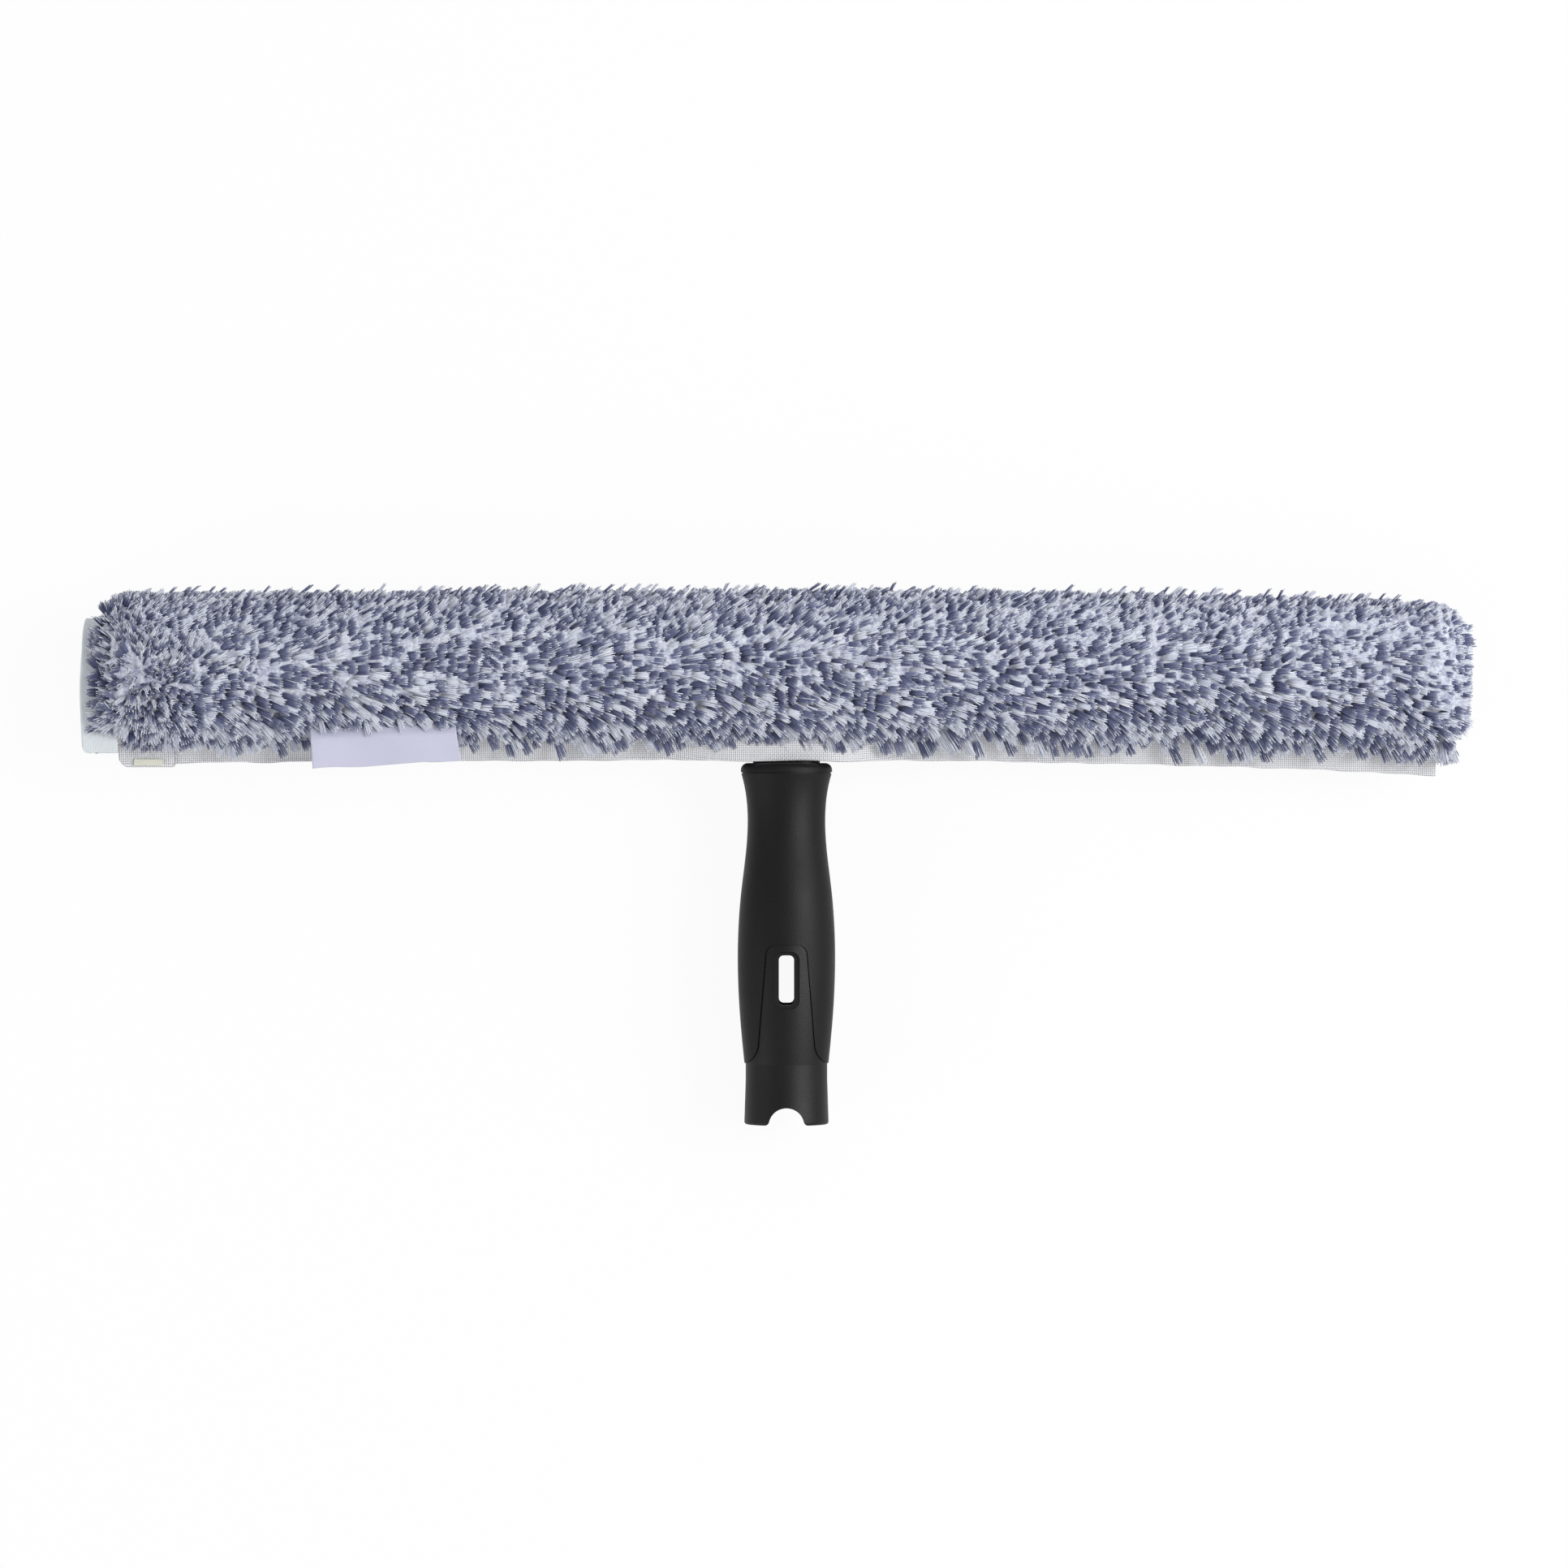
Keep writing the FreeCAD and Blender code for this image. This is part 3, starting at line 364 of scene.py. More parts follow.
# hard pieces keep their solids and get their finishes
mouldings = {  # nodes, dark and light tone, roughness, grain and its depth, specular level
    "blackMoulding": (["handle_core"], (7, 7, 8), (11, 11, 12), 0.46, 2600, 0.00006, 0.17),
    "softGripRubber": (["grip_overmould"], (12, 12, 13), (18, 18, 19), 0.5, 2100, 0.00009, 0.13),
    "barMoulding": (
        ["bar_front_shell", "bar_rear_shell"], (52, 53, 56), (66, 67, 70), 0.48, 1900, 0.00007, 0.4,
    ),
    "bumperRubber": (
        ["left_bumper", "right_bumper"], (34, 35, 37), (46, 47, 49), 0.75, 1500, 0.0001, 0.25,
    ),
}
finishes = {"shell_screws": scratchedSteel("screwSteel")}
for name, (nodes, *look) in mouldings.items():
    finishes.update(dict.fromkeys(nodes, mouldedPlastic(name, *look)))
for nodeName, finish in finishes.items():
    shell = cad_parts[nodeName]
    if not shell.material_slots:
        shell.data.materials.append(finish)
    for place in shell.material_slots:
        place.material = finish
print("handle and bar finished")

# the sleeve's section is a stadium open at the bottom, from the front lip up the front, over the
# top and down the rear
sleeve = {
    "cloth": (136.5, 155.5, 10.5, math.radians(35)),  # two centres, radius, angle of a lip
    "pile": (140, 158, 17.5, math.radians(62)),
    "clothLeft": -223, "clothRight": 218.8,
    "pileLeft": -229, "pileRight": 224.2,
    "leftReach": 19, "leftCut": 5.5, "rightRound": 12,  # of the rounded rims
    "sagRight": 4.6, "sagLeft": 1.3, "sagReach": 225,
}
clothLow, clothHigh, clothRadius, clothLip = sleeve["cloth"]
pileLow, pileHigh, pileRadius, pileLip = sleeve["pile"]
lipRun, sideRun, topRun = pileRadius * pileLip, pileHigh - pileLow, pileRadius * math.pi
stretches = np.array([lipRun, sideRun, topRun, sideRun, lipRun])
girth = stretches.sum()
ringStops = np.concatenate([[0], np.cumsum(stretches)]) / girth


def ring(kind, share, grow):
    # the angle turns and the centre climbs, by turns, along the five stretches
    low, high, radius, lip = sleeve[kind]
    angle = np.interp(share, ringStops, [-lip, 0, 0, math.pi, math.pi, math.pi + lip])
    middle = np.interp(share, ringStops, [low, low, high, high, low, low])
    radius = radius + grow
    return middle + radius * np.sin(angle), radius * np.cos(angle), angle, middle


def endRound(across):
    # what the rims take off the pile's radius: a quarter ellipse at the left, a circle at the right
    rightRound = sleeve["rightRound"]
    left = np.clip((sleeve["pileLeft"] - across) / sleeve["leftReach"] + 1, 0, 1)
    right = np.clip(across - (sleeve["pileRight"] - rightRound), 0, rightRound)
    leftCut = sleeve["leftCut"] * (1 - np.sqrt(1 - left ** 2))
    return leftCut + rightRound - np.sqrt(rightRound ** 2 - right ** 2)


def sag(across):
    depth = np.where(across > 0, sleeve["sagRight"], sleeve["sagLeft"])
    return -depth * (across / sleeve["sagReach"]) ** 2


def pileYarn(name):
    # yarn colours lie along the map's first direction, dark yarn in the lower half and pale yarn in
    # the upper; root to tip runs along the second, with painted shade towards the root and a
    # painted highlight at the cut ends
    material, tree, shader = startMaterial(name, roughness=0.82, sheen=0.12, specular=0.2)
    kind, height = ownMap(tree)
    tone = ramp(tree, kind, [
        (0, tint(73, 78, 113)), (0.24, tint(96, 102, 139)), (0.48, tint(127, 133, 167)),
        (0.52, tint(194, 198, 216)), (0.76, tint(219, 223, 236)), (1, tint(238, 241, 249)),
    ])
    # painted shade: darkest at the middle of the root-to-tip run and full tone at the tip, where
    # the tufts lying over the root half shade it
    shade = ramp(tree, height, [
        (0, grey(0.92)), (0.5, grey(0.76)), (0.75, grey(0.95)), (1, grey(1)),
    ])
    # pale yarn at the root; the paleness at the cut ends is a painted highlight, where they catch
    # the light
    paleRootAndCutHighlight = ramp(tree, height, [
        (0.1, grey(0.9)), (0.42, grey(0.75)), (0.54, grey(0)),
        (0.86, grey(0)), (1, grey(0.34)),
    ])
    shaded = blended(tree, 1, tone, shade, "MULTIPLY")
    coloured = blended(tree, paleRootAndCutHighlight, shaded, tint(218, 221, 232))  # pale at the root, and a painted highlight at the cut ends
    plug(tree, shader, "Base Color", coloured)
    return material


yarn = pileYarn("pileYarn")

# a setting whose name ends in Run has the start or end of a change and how far it runs, along the
# bar or round the section from the ridge
pile = {
    "seed": 23,
    "rows": 78,  # of tufts, lip to lip
    "columnPitch": 3.6, "endPitch": 1.3,  # along the bar, and at its left end
    "pitchRun": (10, 40),
    "inset": (0.6, 0.8),  # of the outer columns from the cloth's two ends
    "rootHeight": 0.2,
    "jitter": 0.3,  # of the roots, in pitches
    "thin": 0.52, "thinRun": (49, 12),  # fewer tufts beside the hems
    "topFibres": 7, "underFibres": 4,  # in two layers in each tuft
    "fibreWidth": 0.42, "fibreHeight": 0.36, "fibrePitch": 0.3, "layer": 0.45,
    "sweep": 6.4,  # how far a tip lies along the bar from its root
    "shy": 0.35, "shyRun": (45, 18),  # less of that beside the hems
    "lieFrom": -219, "lieRun": 36,  # left of this the tufts stand up
    "ridgeLie": 14, "ridgeRun": (27, 14),  # but further left along the ridge
    "endFan": 6, "endRun": (-223, 14), "endSideRun": (10, 14),  # tips past the left end
    "endLoose": 1.3,
    "wild": 0.04, "stir": (2.2, 0.62),  # share of wild tufts; how far they and the rest stray
    "swirl": 1.3,
    "raggedRight": (-1.5, 0.9), "raggedLeft": (-0.6, 1.6),
    "fromTop": (0, 12, 27.5, 34, 45.5, 55, 64.4),  # places round the section, ridge to lip
    "fan": (0, 0, 0.6, 2.8, 5.4, 4.2, 3.2),  # how far the tips lean towards the lip there
    "stand": (0.6, 0.75, 1.05, 1.1, 1.05, 0.8, 0.6),  # how upright the tufts start there
    "splay": (1, 1, 1, 1, 1.1, 1.35, 1.5),  # how far the tips spread there
    "from": (0.4, 0.5, 0.5, 0.5, 0.45, 0.2, 0.08),  # where on the bent line the fibre begins
    "fanMiddle": 0.2, "fanWidth": 110,  # more of a fan at the handle
    "fanRight": 0.5, "fanRun": (130, 80),  # and less to the right
    "hangMost": 4.5, "hangRun": (-214, 30),  # of tips past the lips
    "uneven": 0.35,  # of the tips' height
    "deepest": 7,
    "lipSag": 0.35, "lipRun": (42, 18),  # the fringe sags more than the ridge
    "rearLowest": 121,  # no tips below the rear hem
    "bareBelow": 128, "bareLeft": -217.5, "bareRight": 219,  # both lower corners
    "shortest": 1.3,
    "darkShare": 0.68,
    "pieces": 7,
    "partings": ((-175, -0.42), (-38, -0.3), (92, 0.35), (163, -0.4)),  # place and slant
    "parting": 1.5, "partingWidth": 2.6, "partingMiddle": 34,
    "partingTopRun": (16, 8), "partingLowRun": (52, 8),
}


def fibreRun(starts, tips, sides, spread, splay, drop, lengthen, tone, begin, draw):
    # three-sided fibres, closed at both ends: a ring in the ground and one at the tip, spread
    # across each tuft and cut to uneven lengths; arrays are tufts x fibres x rings x corners
    tufts, fibres = spread.shape
    lines = np.stack([starts, tips], 1)
    ways = unit(tips - starts)
    ups = unit(np.cross(ways, sides))
    fan = joined(0.75, splay)
    aside = (spread[:, :, None] * fan[:, None])[..., None]
    centres = lines[:, None] + sides[:, None, None] * aside
    sunk = (0.2 * spread ** 2 + drop)[:, :, None] * [0.6, 1]
    centres = centres - ups[:, None, None] * sunk[..., None]
    loose = draw.normal(0, 1, (tufts, fibres, 2)) * [0.1, 0.12]
    centres[:, :, 1] += sides[:, None] * loose[..., :1] + ups[:, None] * loose[..., 1:]
    centres[:, :, 1] += ways[:, None] * lengthen[..., None]
    width = pile["fibreWidth"] * np.array([1, 0.8])
    height = pile["fibreHeight"] * np.array([1, 0.7])
    cornerSide = (width[:, None] * [-0.5, 0.5, 0])[None, None, :, :, None]
    cornerUp = (height[:, None] * [-0.33, -0.33, 0.67])[None, None, :, :, None]
    points = centres[:, :, :, None] + sides[:, None, None, None] * cornerSide
    points = points + ups[:, None, None, None] * cornerUp
    count = tufts * fibres
    oneFibre = np.array([0, 1, 4, 3, 1, 2, 5, 4, 2, 0, 3, 5, 3, 4, 5, 2, 1, 0])
    corners = (oneFibre[None] + 6 * np.arange(count)[:, None]).reshape(-1)
    counts = np.tile([4, 4, 4, 3, 3], count)
    toneSpread = np.tile([-0.004, 0.004, 0], (2, 1))  # so that a fibre covers some of the map
    mapAcross = tone[:, :, None, None] + toneSpread
    mapUp = joined(begin, 0.98)[:, None, :, None]
    return points.reshape(-1, 3), corners, counts, joined(mapAcross, mapUp).reshape(-1, 2)


def tuftRoots(draw):
    # a jittered lattice: the place along the bar, the share of the way from lip to lip, and the row
    left, right = sleeve["clothLeft"] + pile["inset"][0], sleeve["clothRight"] - pile["inset"][1]
    guide = np.linspace(left, right, 2000)
    wider = (pile["columnPitch"] - pile["endPitch"]) * rise(guide - left, *pile["pitchRun"])
    pitch = pile["endPitch"] + wider
    count = np.cumsum((guide[1] - guide[0]) / pitch)
    columns = np.interp(np.arange(0.5, count[-1]), count, guide)
    across, row = np.meshgrid(columns, np.arange(pile["rows"]))
    share = (row + 0.5 + 0.25 * np.where(np.arange(len(columns)) % 2, 1, -1)) / pile["rows"]
    jitter = pile["jitter"]
    across = across + draw.uniform(-jitter, jitter, across.shape) * np.interp(across, guide, pitch)
    share = share + draw.uniform(-jitter, jitter, share.shape) / pile["rows"]
    across, share, row = across.ravel(), np.clip(share.ravel(), 0.002, 0.998), row.ravel()
    thinned = pile["thin"] * rise(np.abs(share - 0.5) * girth, *pile["thinRun"])
    stay = draw.uniform(0, 1, len(share)) < 1 - thinned
    return across[stay], share[stay], row[stay]


def tuftField(draw):
    # each tip lies on the pile's rounded outside, swept along the bar and fanned away from the
    # middle of the front and rear; the fibres follow the end of a line bent from root to tip
    across, share, row = tuftRoots(draw)
    fromTop = np.abs(share - 0.5) * girth
    around = share * girth
    side = np.sign(share - 0.5)
    size = len(across)

    def there(key):
        return np.interp(fromTop, pile["fromTop"], pile[key])

    up, depth, angle, _ = ring("cloth", share, pile["rootHeight"])
    roots = joined(across, up, depth)
    normals = joined(0, np.sin(angle), np.cos(angle))
    # at the left end the tufts stand up and fan outwards, further in they lie over to the right
    ridgeLie = pile["ridgeLie"] * fall(fromTop, *pile["ridgeRun"])
    lie = rise(across - pile["lieFrom"] + ridgeLie, 0, pile["lieRun"])
    shy = 1 - pile["shy"] * rise(fromTop, *pile["shyRun"])
    unlike = 1 + 0.14 * ripples(across, around, 2, 16, 40) + draw.normal(0, 0.09, size)
    swept = pile["sweep"] * shy * lie * unlike
    atEnd = 1 - rise(across, *pile["endRun"])
    swept = swept - pile["endFan"] * atEnd * rise(fromTop, *pile["endSideRun"])
    swept = swept + pile["endLoose"] * (1 - lie) * draw.normal(0, 1, size)
    for place, slant in pile["partings"]:
        beside = across - place - slant * (pile["partingMiddle"] - fromTop)
        opened = np.sign(beside) * np.exp(-np.abs(beside) / pile["partingWidth"])
        within = rise(fromTop, *pile["partingTopRun"]) * fall(fromTop, *pile["partingLowRun"])
        swept = swept + pile["parting"] * opened * within
    stir = np.where(draw.uniform(0, 1, size) < pile["wild"], *pile["stir"])
    stirred = stir * draw.normal(0, 1, size) * (1 + 0.9 * (1 - lie))
    swirl = pile["swirl"] * ripples(across, around, 3, 22, 55) + stirred
    rightmost = sleeve["pileRight"] + draw.uniform(*pile["raggedRight"], size)
    leftmost = sleeve["pileLeft"] + draw.uniform(*pile["raggedLeft"], size)
    tipAcross = np.maximum(np.minimum(across + swept, rightmost), leftmost)
    calm = 1 + pile["fanMiddle"] * np.exp(-(across / pile["fanWidth"]) ** 2)
    calm = calm - pile["fanRight"] * rise(across, *pile["fanRun"])
    tipFrom = fromTop + there("fan") * (0.45 + 0.55 * lie) * calm + swirl * side
    tipShare = np.clip(0.5 + side * tipFrom / girth, 0, 1)
    hang = np.clip(tipFrom - 0.5 * girth, 0, pile["hangMost"])
    hang = hang * (0.25 + 0.75 * rise(across, *pile["hangRun"]))
    sink = np.abs(draw.normal(0, 1, size)) * pile["uneven"] - 0.25
    sink = sink + 0.35 * ripples(across, around, 4, 9, 24) - 0.25 * np.abs(stirred)
    sink = np.minimum(endRound(tipAcross) + sink, pile["deepest"])
    tipUp, tipDepth, *_ = ring("pile", tipShare, -sink)
    sagged = sag(tipAcross) * (1 + pile["lipSag"] * rise(fromTop, *pile["lipRun"]))
    tipUp = tipUp + sagged - 0.9 * hang
    tipUp = np.where(share > 0.5, np.maximum(tipUp, pile["rearLowest"]), tipUp)
    tips = joined(tipAcross, tipUp, tipDepth)
    # root, bend and tip make the line
    height = np.einsum("ij,ij->i", tips - roots, normals)
    bends = roots + normals * (there("stand") * height)[:, None]
    bends = bends + (tips - roots) * [0.12, 0, 0]
    begin = there("from")[:, None]
    starts = (1 - begin) ** 2 * roots + 2 * begin * (1 - begin) * bends + begin ** 2 * tips
    starts[:, 1] += 0.7 * sagged * (1 - begin[:, 0])
    low = tips[:, 1] < pile["bareBelow"] + draw.normal(0, 1, size)
    outside = (tips[:, 0] < pile["bareLeft"]) | (tips[:, 0] > pile["bareRight"])
    keep = ~(low & outside) & (np.linalg.norm(tips - starts, axis=1) > pile["shortest"])
    mapStart = np.interp(begin[:, 0], (0.08, 0.45), (0.02, 0.52))
    found = (starts, tips, normals, around, row, there("splay"), mapStart, 1 - lie, np.ones(size))
    return [part[keep] for part in found]


# single tufts in groups; a pair of numbers has the limits of a draw
stray = {
    "ridge": {
        "size": 230, "along": (-214, 212),
        "sunk": 2.4, "reach": (-0.2, 2.6), "swept": (2.5, 6.5),
    },
    "bundle": {
        "size": 26, "from": ((212.5, 217.5), (125.5, 131), (4.5, 8.5)),
        "tipAlong": (215.5, 221.5), "tipUp": (118.3, 122.5), "tipOut": (0.6, 0.7),
    },
    "corner": {
        "size": 5, "from": ((-223.5, -221.5), 166.4, (-3, 5)),
        "lean": ((-3, -1), (3.4, 5.2), 0),
    },
    "overLabel": {
        "size": 16, "from": ((-157, -107), (133, 136.5), 14.6),
        "lean": ((1, 4.5), (3, 5.5), (1.9, 2.4)),
    },
    "cap": {
        "size": 170, "from": 215.5, "to": 224.4, "round": 5, "middle": 146, "tipMiddle": 148,
        "halfHeight": 19, "halfDepth": 9.5, "grow": (1.14, 1.35), "lower": 2.6, "lowest": 127,
    },
}


def scattered(draw, size, limits):
    # a coordinate with limits is drawn between them, a single number stays
    return joined(*[
        draw.uniform(*limit, size) if isinstance(limit, tuple) else limit for limit in limits
    ])


def strayTufts(draw):
    front, right = np.array([[0, 0, 1]]), np.array([[1, 0, 0]])

    # make the top edge ragged
    one = stray["ridge"]
    size = one["size"]
    across = draw.uniform(*one["along"], size)
    up, depth, angle, _ = ring("pile", 0.5 + draw.normal(0, 0.035, size), -one["sunk"])
    ridge = joined(across, up + sag(across), depth)
    ridgeOut = joined(0, np.sin(angle), np.cos(angle))
    ridgeTip = ridge + ridgeOut * (2.2 + draw.uniform(*one["reach"], (size, 1)))
    ridgeTip = ridgeTip + scattered(draw, size, (one["swept"], 0, 0))

    # hangs past the right end of the hem
    one = stray["bundle"]
    size = one["size"]
    bundle = scattered(draw, size, one["from"])
    bundleTip = joined(
        0.35 * bundle[:, 0] + 0.65 * draw.uniform(*one["tipAlong"], size),
        draw.uniform(*one["tipUp"], size),
        bundle[:, 2] + draw.normal(*one["tipOut"], size),
    )

    # stick up at the left end of the ridge
    one = stray["corner"]
    corner = scattered(draw, one["size"], one["from"])
    cornerTip = corner + scattered(draw, one["size"], one["lean"])

    # lie down over the label's upper edge
    one = stray["overLabel"]
    above = scattered(draw, one["size"], one["from"])
    aboveTip = above + scattered(draw, one["size"], one["lean"]) * [1, -1, 1]

    # cover the closed right end, in a sunflower's spiral
    one = stray["cap"]
    size = one["size"]
    turn = np.arange(size) * math.pi * (3 - math.sqrt(5))
    out = np.sqrt((np.arange(size) + 0.5) / size)
    capUp = one["middle"] + one["halfHeight"] * out * np.sin(turn)
    capDepth = one["halfDepth"] * out * np.cos(turn)
    cap = joined(one["from"], capUp, capDepth)
    growUp, growDepth = one["grow"]
    capTip = joined(
        one["to"] - one["round"] * out ** 3 + draw.normal(0, 0.4, size),
        one["tipMiddle"] + (capUp - one["middle"]) * growUp - one["lower"],
        capDepth * growDepth,
    )
    capTip = capTip + draw.normal(0, 0.8, (size, 3)) * [0, 1, 1]
    capKeep = capTip[:, 1] > one["lowest"]

    groups = [  # starts, tips, outward directions, share of the full width, share of dark tufts
        (ridge, ridgeTip, ridgeOut, 0.5, 0.7),
        (bundle, bundleTip, front, 0.9, 0.12),
        (corner, cornerTip, front, 0.7, 0.9),
        (above, aboveTip, front, 0.8, 0.35),
        (cap[capKeep], capTip[capKeep], right, 1.1, 0.6),
    ]
    starts, tips, normals, wide, darkness = zip(*groups)
    sizes = [len(part) for part in starts]
    wide, darkness = np.repeat(wide, sizes), np.repeat(darkness, sizes)
    ways = [np.broadcast_to(way, start.shape) for way, start in zip(normals, starts)]
    starts, tips, normals = (np.concatenate(parts) for parts in (starts, tips, ways))
    more = len(starts)
    row = draw.integers(0, pile["rows"], more)
    splay, mapStart, upright = np.full(more, 1.2), np.full(more, 0.5), np.zeros(more)
    return (starts, tips, normals, starts[:, 1], row, splay, mapStart, upright, wide), darkness


def tuftTone(along, around, row, strayDark, draw):
    # dark and pale yarns take turns from row to row, in a slowly shifting beat upset by a draw for
    # each tuft; the lower layer is mostly pale and shows past the upper one's ends
    size = len(along)
    beat = np.sin(math.pi * row + 2.2 * ripples(along, around, 6, 14, 36))
    cluster = 0.8 * beat + 0.45 * ripples(1.4 * along, 0.8 * around, 5, 7, 16)
    cluster = cluster + draw.normal(0, 0.7, size)
    fromTop = np.abs(around - 0.5 * girth)
    cluster = cluster + 0.26 * rise(fromTop, 44, 9)  # paler fringe
    cluster = cluster - 0.3 * fall(fromTop, 16, 12)  # darker ridge
    dark = cluster < np.quantile(cluster, pile["darkShare"])
    dark[size - len(strayDark):] = draw.uniform(0, 1, len(strayDark)) < strayDark
    top, under = pile["topFibres"], pile["underFibres"]
    mean = 0.5 + 0.18 * draw.normal(0, 1, (size, 1))
    shade = np.clip(mean + 0.17 * draw.normal(0, 1, (size, top + under)), 0.03, 0.97)
    darkTop = np.repeat(dark[:, None], top, 1)
    darkUnder = draw.uniform(0, 1, (size, under)) < 0.3 * dark[:, None]
    isDark = np.concatenate([darkTop, darkUnder], 1)
    return np.where(isDark, 0.02 + 0.44 * shade, 0.54 + 0.44 * shade)  # both halves of the map


def tuftArrays(draw):
    # what fibreRun needs, for all tufts
    field = tuftField(draw)
    single, singleDark = strayTufts(draw)
    both = [np.concatenate(pair) for pair in zip(field, single)]
    starts, tips, normals, around, row, splay, mapStart, upright, wide = both
    size, top, under = len(starts), pile["topFibres"], pile["underFibres"]
    # a tuft is a flat brush across its own lean, turned at the left end and tilted a little
    turn = draw.normal(0, 0.8, size)[:, None] * upright[:, None]
    lean = tips - starts
    lean = lean - normals * np.einsum("ij,ij->i", lean, normals)[:, None] + [0.6, 0, 0]
    sides = unit(np.cross(normals, lean))
    sides = sides * np.cos(turn) + np.cross(normals, sides) * np.sin(turn)
    tilt = draw.normal(0, 0.22, size)[:, None]
    sides = unit(sides * np.cos(tilt) + normals * np.sin(tilt))
    topSpread = np.linspace(-0.5, 0.5, top) * (top - 1)
    underSpread = np.linspace(-0.5, 0.5, under) * (top - 0.5)
    spread = np.concatenate([topSpread, underSpread]) * pile["fibrePitch"]
    spread = spread * (wide * draw.uniform(0.9, 1.15, size))[:, None]
    spread = spread + draw.normal(0, 0.04, (size, top + under))
    drop = np.repeat([[0, pile["layer"]]], size, 0).repeat([top, under], 1)
    topLonger = draw.uniform(-0.5, 0.3, (size, top))
    underLonger = draw.uniform(0, 0.8, (size, under))
    lengthen = np.concatenate([topLonger, underLonger], 1)
    tone = tuftTone(starts[:, 0], around, row, singleDark, draw)
    return starts, tips, sides, spread, splay, drop, lengthen, tone, mapStart


draw = np.random.default_rng(pile["seed"])
tufts = tuftArrays(draw)
alongBar = np.argsort(tufts[0][:, 0], kind="stable")
for number, chosen in enumerate(np.array_split(alongBar, pile["pieces"]), start=1):
    run = fibreRun(*[part[chosen] for part in tufts], draw)
    piece = newPiece(f"pileTufts_{number}", *run, yarn)
    dress(piece, "sleeve", "grey_pile")
print("pile:", len(alongBar), "tufts of", pile["topFibres"] + pile["underFibres"], "fibres")


def mattedFibre(name):
    # patches of grey and white, whiter towards both lips
    material, tree, shader = startMaterial(name, roughness=0.9, sheen=0.2, specular=0.15)
    patch = noise(tree, objectPlace(tree), 420, 4, 0.65)
    fromMiddle = sums(tree, "ABSOLUTE", sums(tree, "SUBTRACT", ownMap(tree)[1], 0.5))
    matted = ramp(tree, patch, [(0.35, tint(142, 146, 172)), (0.62, tint(222, 225, 235))])
    white = ramp(tree, patch, [(0.35, tint(222, 225, 231)), (0.62, tint(246, 247, 249))])
    edge = ramp(tree, fromMiddle, [(0.33, grey(0)), (0.41, grey(1))])
    plug(tree, shader, "Base Color", blended(tree, edge, matted, white))
    addBump(tree, shader, patch, 0.0006)
    return material


# short matted ground between the tufts
ground = {
    "share": 0.7, "lump": 0.4, "wall": 0.8, "columns": 300, "rows": 110,
    "left": -224, "right": 222.6, "domeFrom": 214, "domeLength": 8.7,
    "lipRun": (0.04, 0.16), "endRun": (0, 0.012), "lumpRun": 0.08, "ridgeRun": (0, 32),
}


def groundSurface():
    # the cloth's ring grown part of the way to the pile's outside, drawn in at the lips and the
    # left end, with soft lumps, and domed over the right end
    run, share = spans(0, 1, ground["columns"], 0, 1, ground["rows"])
    across = ground["left"] + run * (ground["right"] - ground["left"])
    low, depthLow, angle, middle = ring("cloth", share, 0.25)
    high, depthHigh, *_ = ring("pile", share, -endRound(across))
    fromMiddle = np.abs(share - 0.5)
    part = ground["share"] * rise(0.5 - fromMiddle, *ground["lipRun"])
    part = part * rise(run, *ground["endRun"])
    up = low + (high - low) * part
    depth = depthLow + (depthHigh - depthLow) * part
    lump = ground["lump"] * ripples(across, share * girth, 9, 4, 11)
    lump = lump * rise(share, 0, ground["lumpRun"]) * fall(share, 1, ground["lumpRun"])
    up, depth = up + lump * np.sin(angle), depth + lump * np.cos(angle)
    past = np.maximum(across - ground["domeFrom"], 0) / ground["domeLength"]
    close = np.sqrt(np.clip(1 - past ** 2, 0, 1))
    up, depth = middle + (up - middle) * close, depth * close
    # sinks with the tufts along the ridge
    settled = 0.5 + 0.45 * (1 - rise(fromMiddle * girth, *ground["ridgeRun"]))
    return joined(across, up + settled * sag(across), depth), joined(run * 5, share)


groundPoints, groundPlaces = groundSurface()
pileGround = gridPiece(
    "pileGround", groundPoints[:, ::-1], groundPlaces[:, ::-1], mattedFibre("pileGround"),
    ground["wall"], -1,
)
dress(pileGround, "sleeve", "grey_pile", "pile_sleeve")
print("pile ground laid")

# cloth tube that carries the pile
cloth = {"wall": 1, "columns": 120, "rows": 90, "tile": 20}
backingWeave = wovenCloth(
    "backingWeave", tint(176, 180, 182), tint(226, 229, 230), 20, 20, ribbed=0, depth=0.0002,
)
clothMiddle = clothRadius - cloth["wall"] / 2
clothLength = 2 * clothLip * clothMiddle + 2 * (clothHigh - clothLow) + math.pi * clothMiddle
clothEnds = sleeve["clothLeft"], sleeve["clothRight"]
across, share = spans(*clothEnds, cloth["columns"], 0, 1, cloth["rows"])
up, depth, *_ = ring("cloth", share, -cloth["wall"] / 2)
backingCloth = gridPiece(
    "backingCloth", joined(across, up, depth)[:, ::-1],
    joined(across, share * clothLength)[:, ::-1] / cloth["tile"], backingWeave, cloth["wall"],
)
dress(backingCloth, "sleeve", "backing", "backing_cloth")

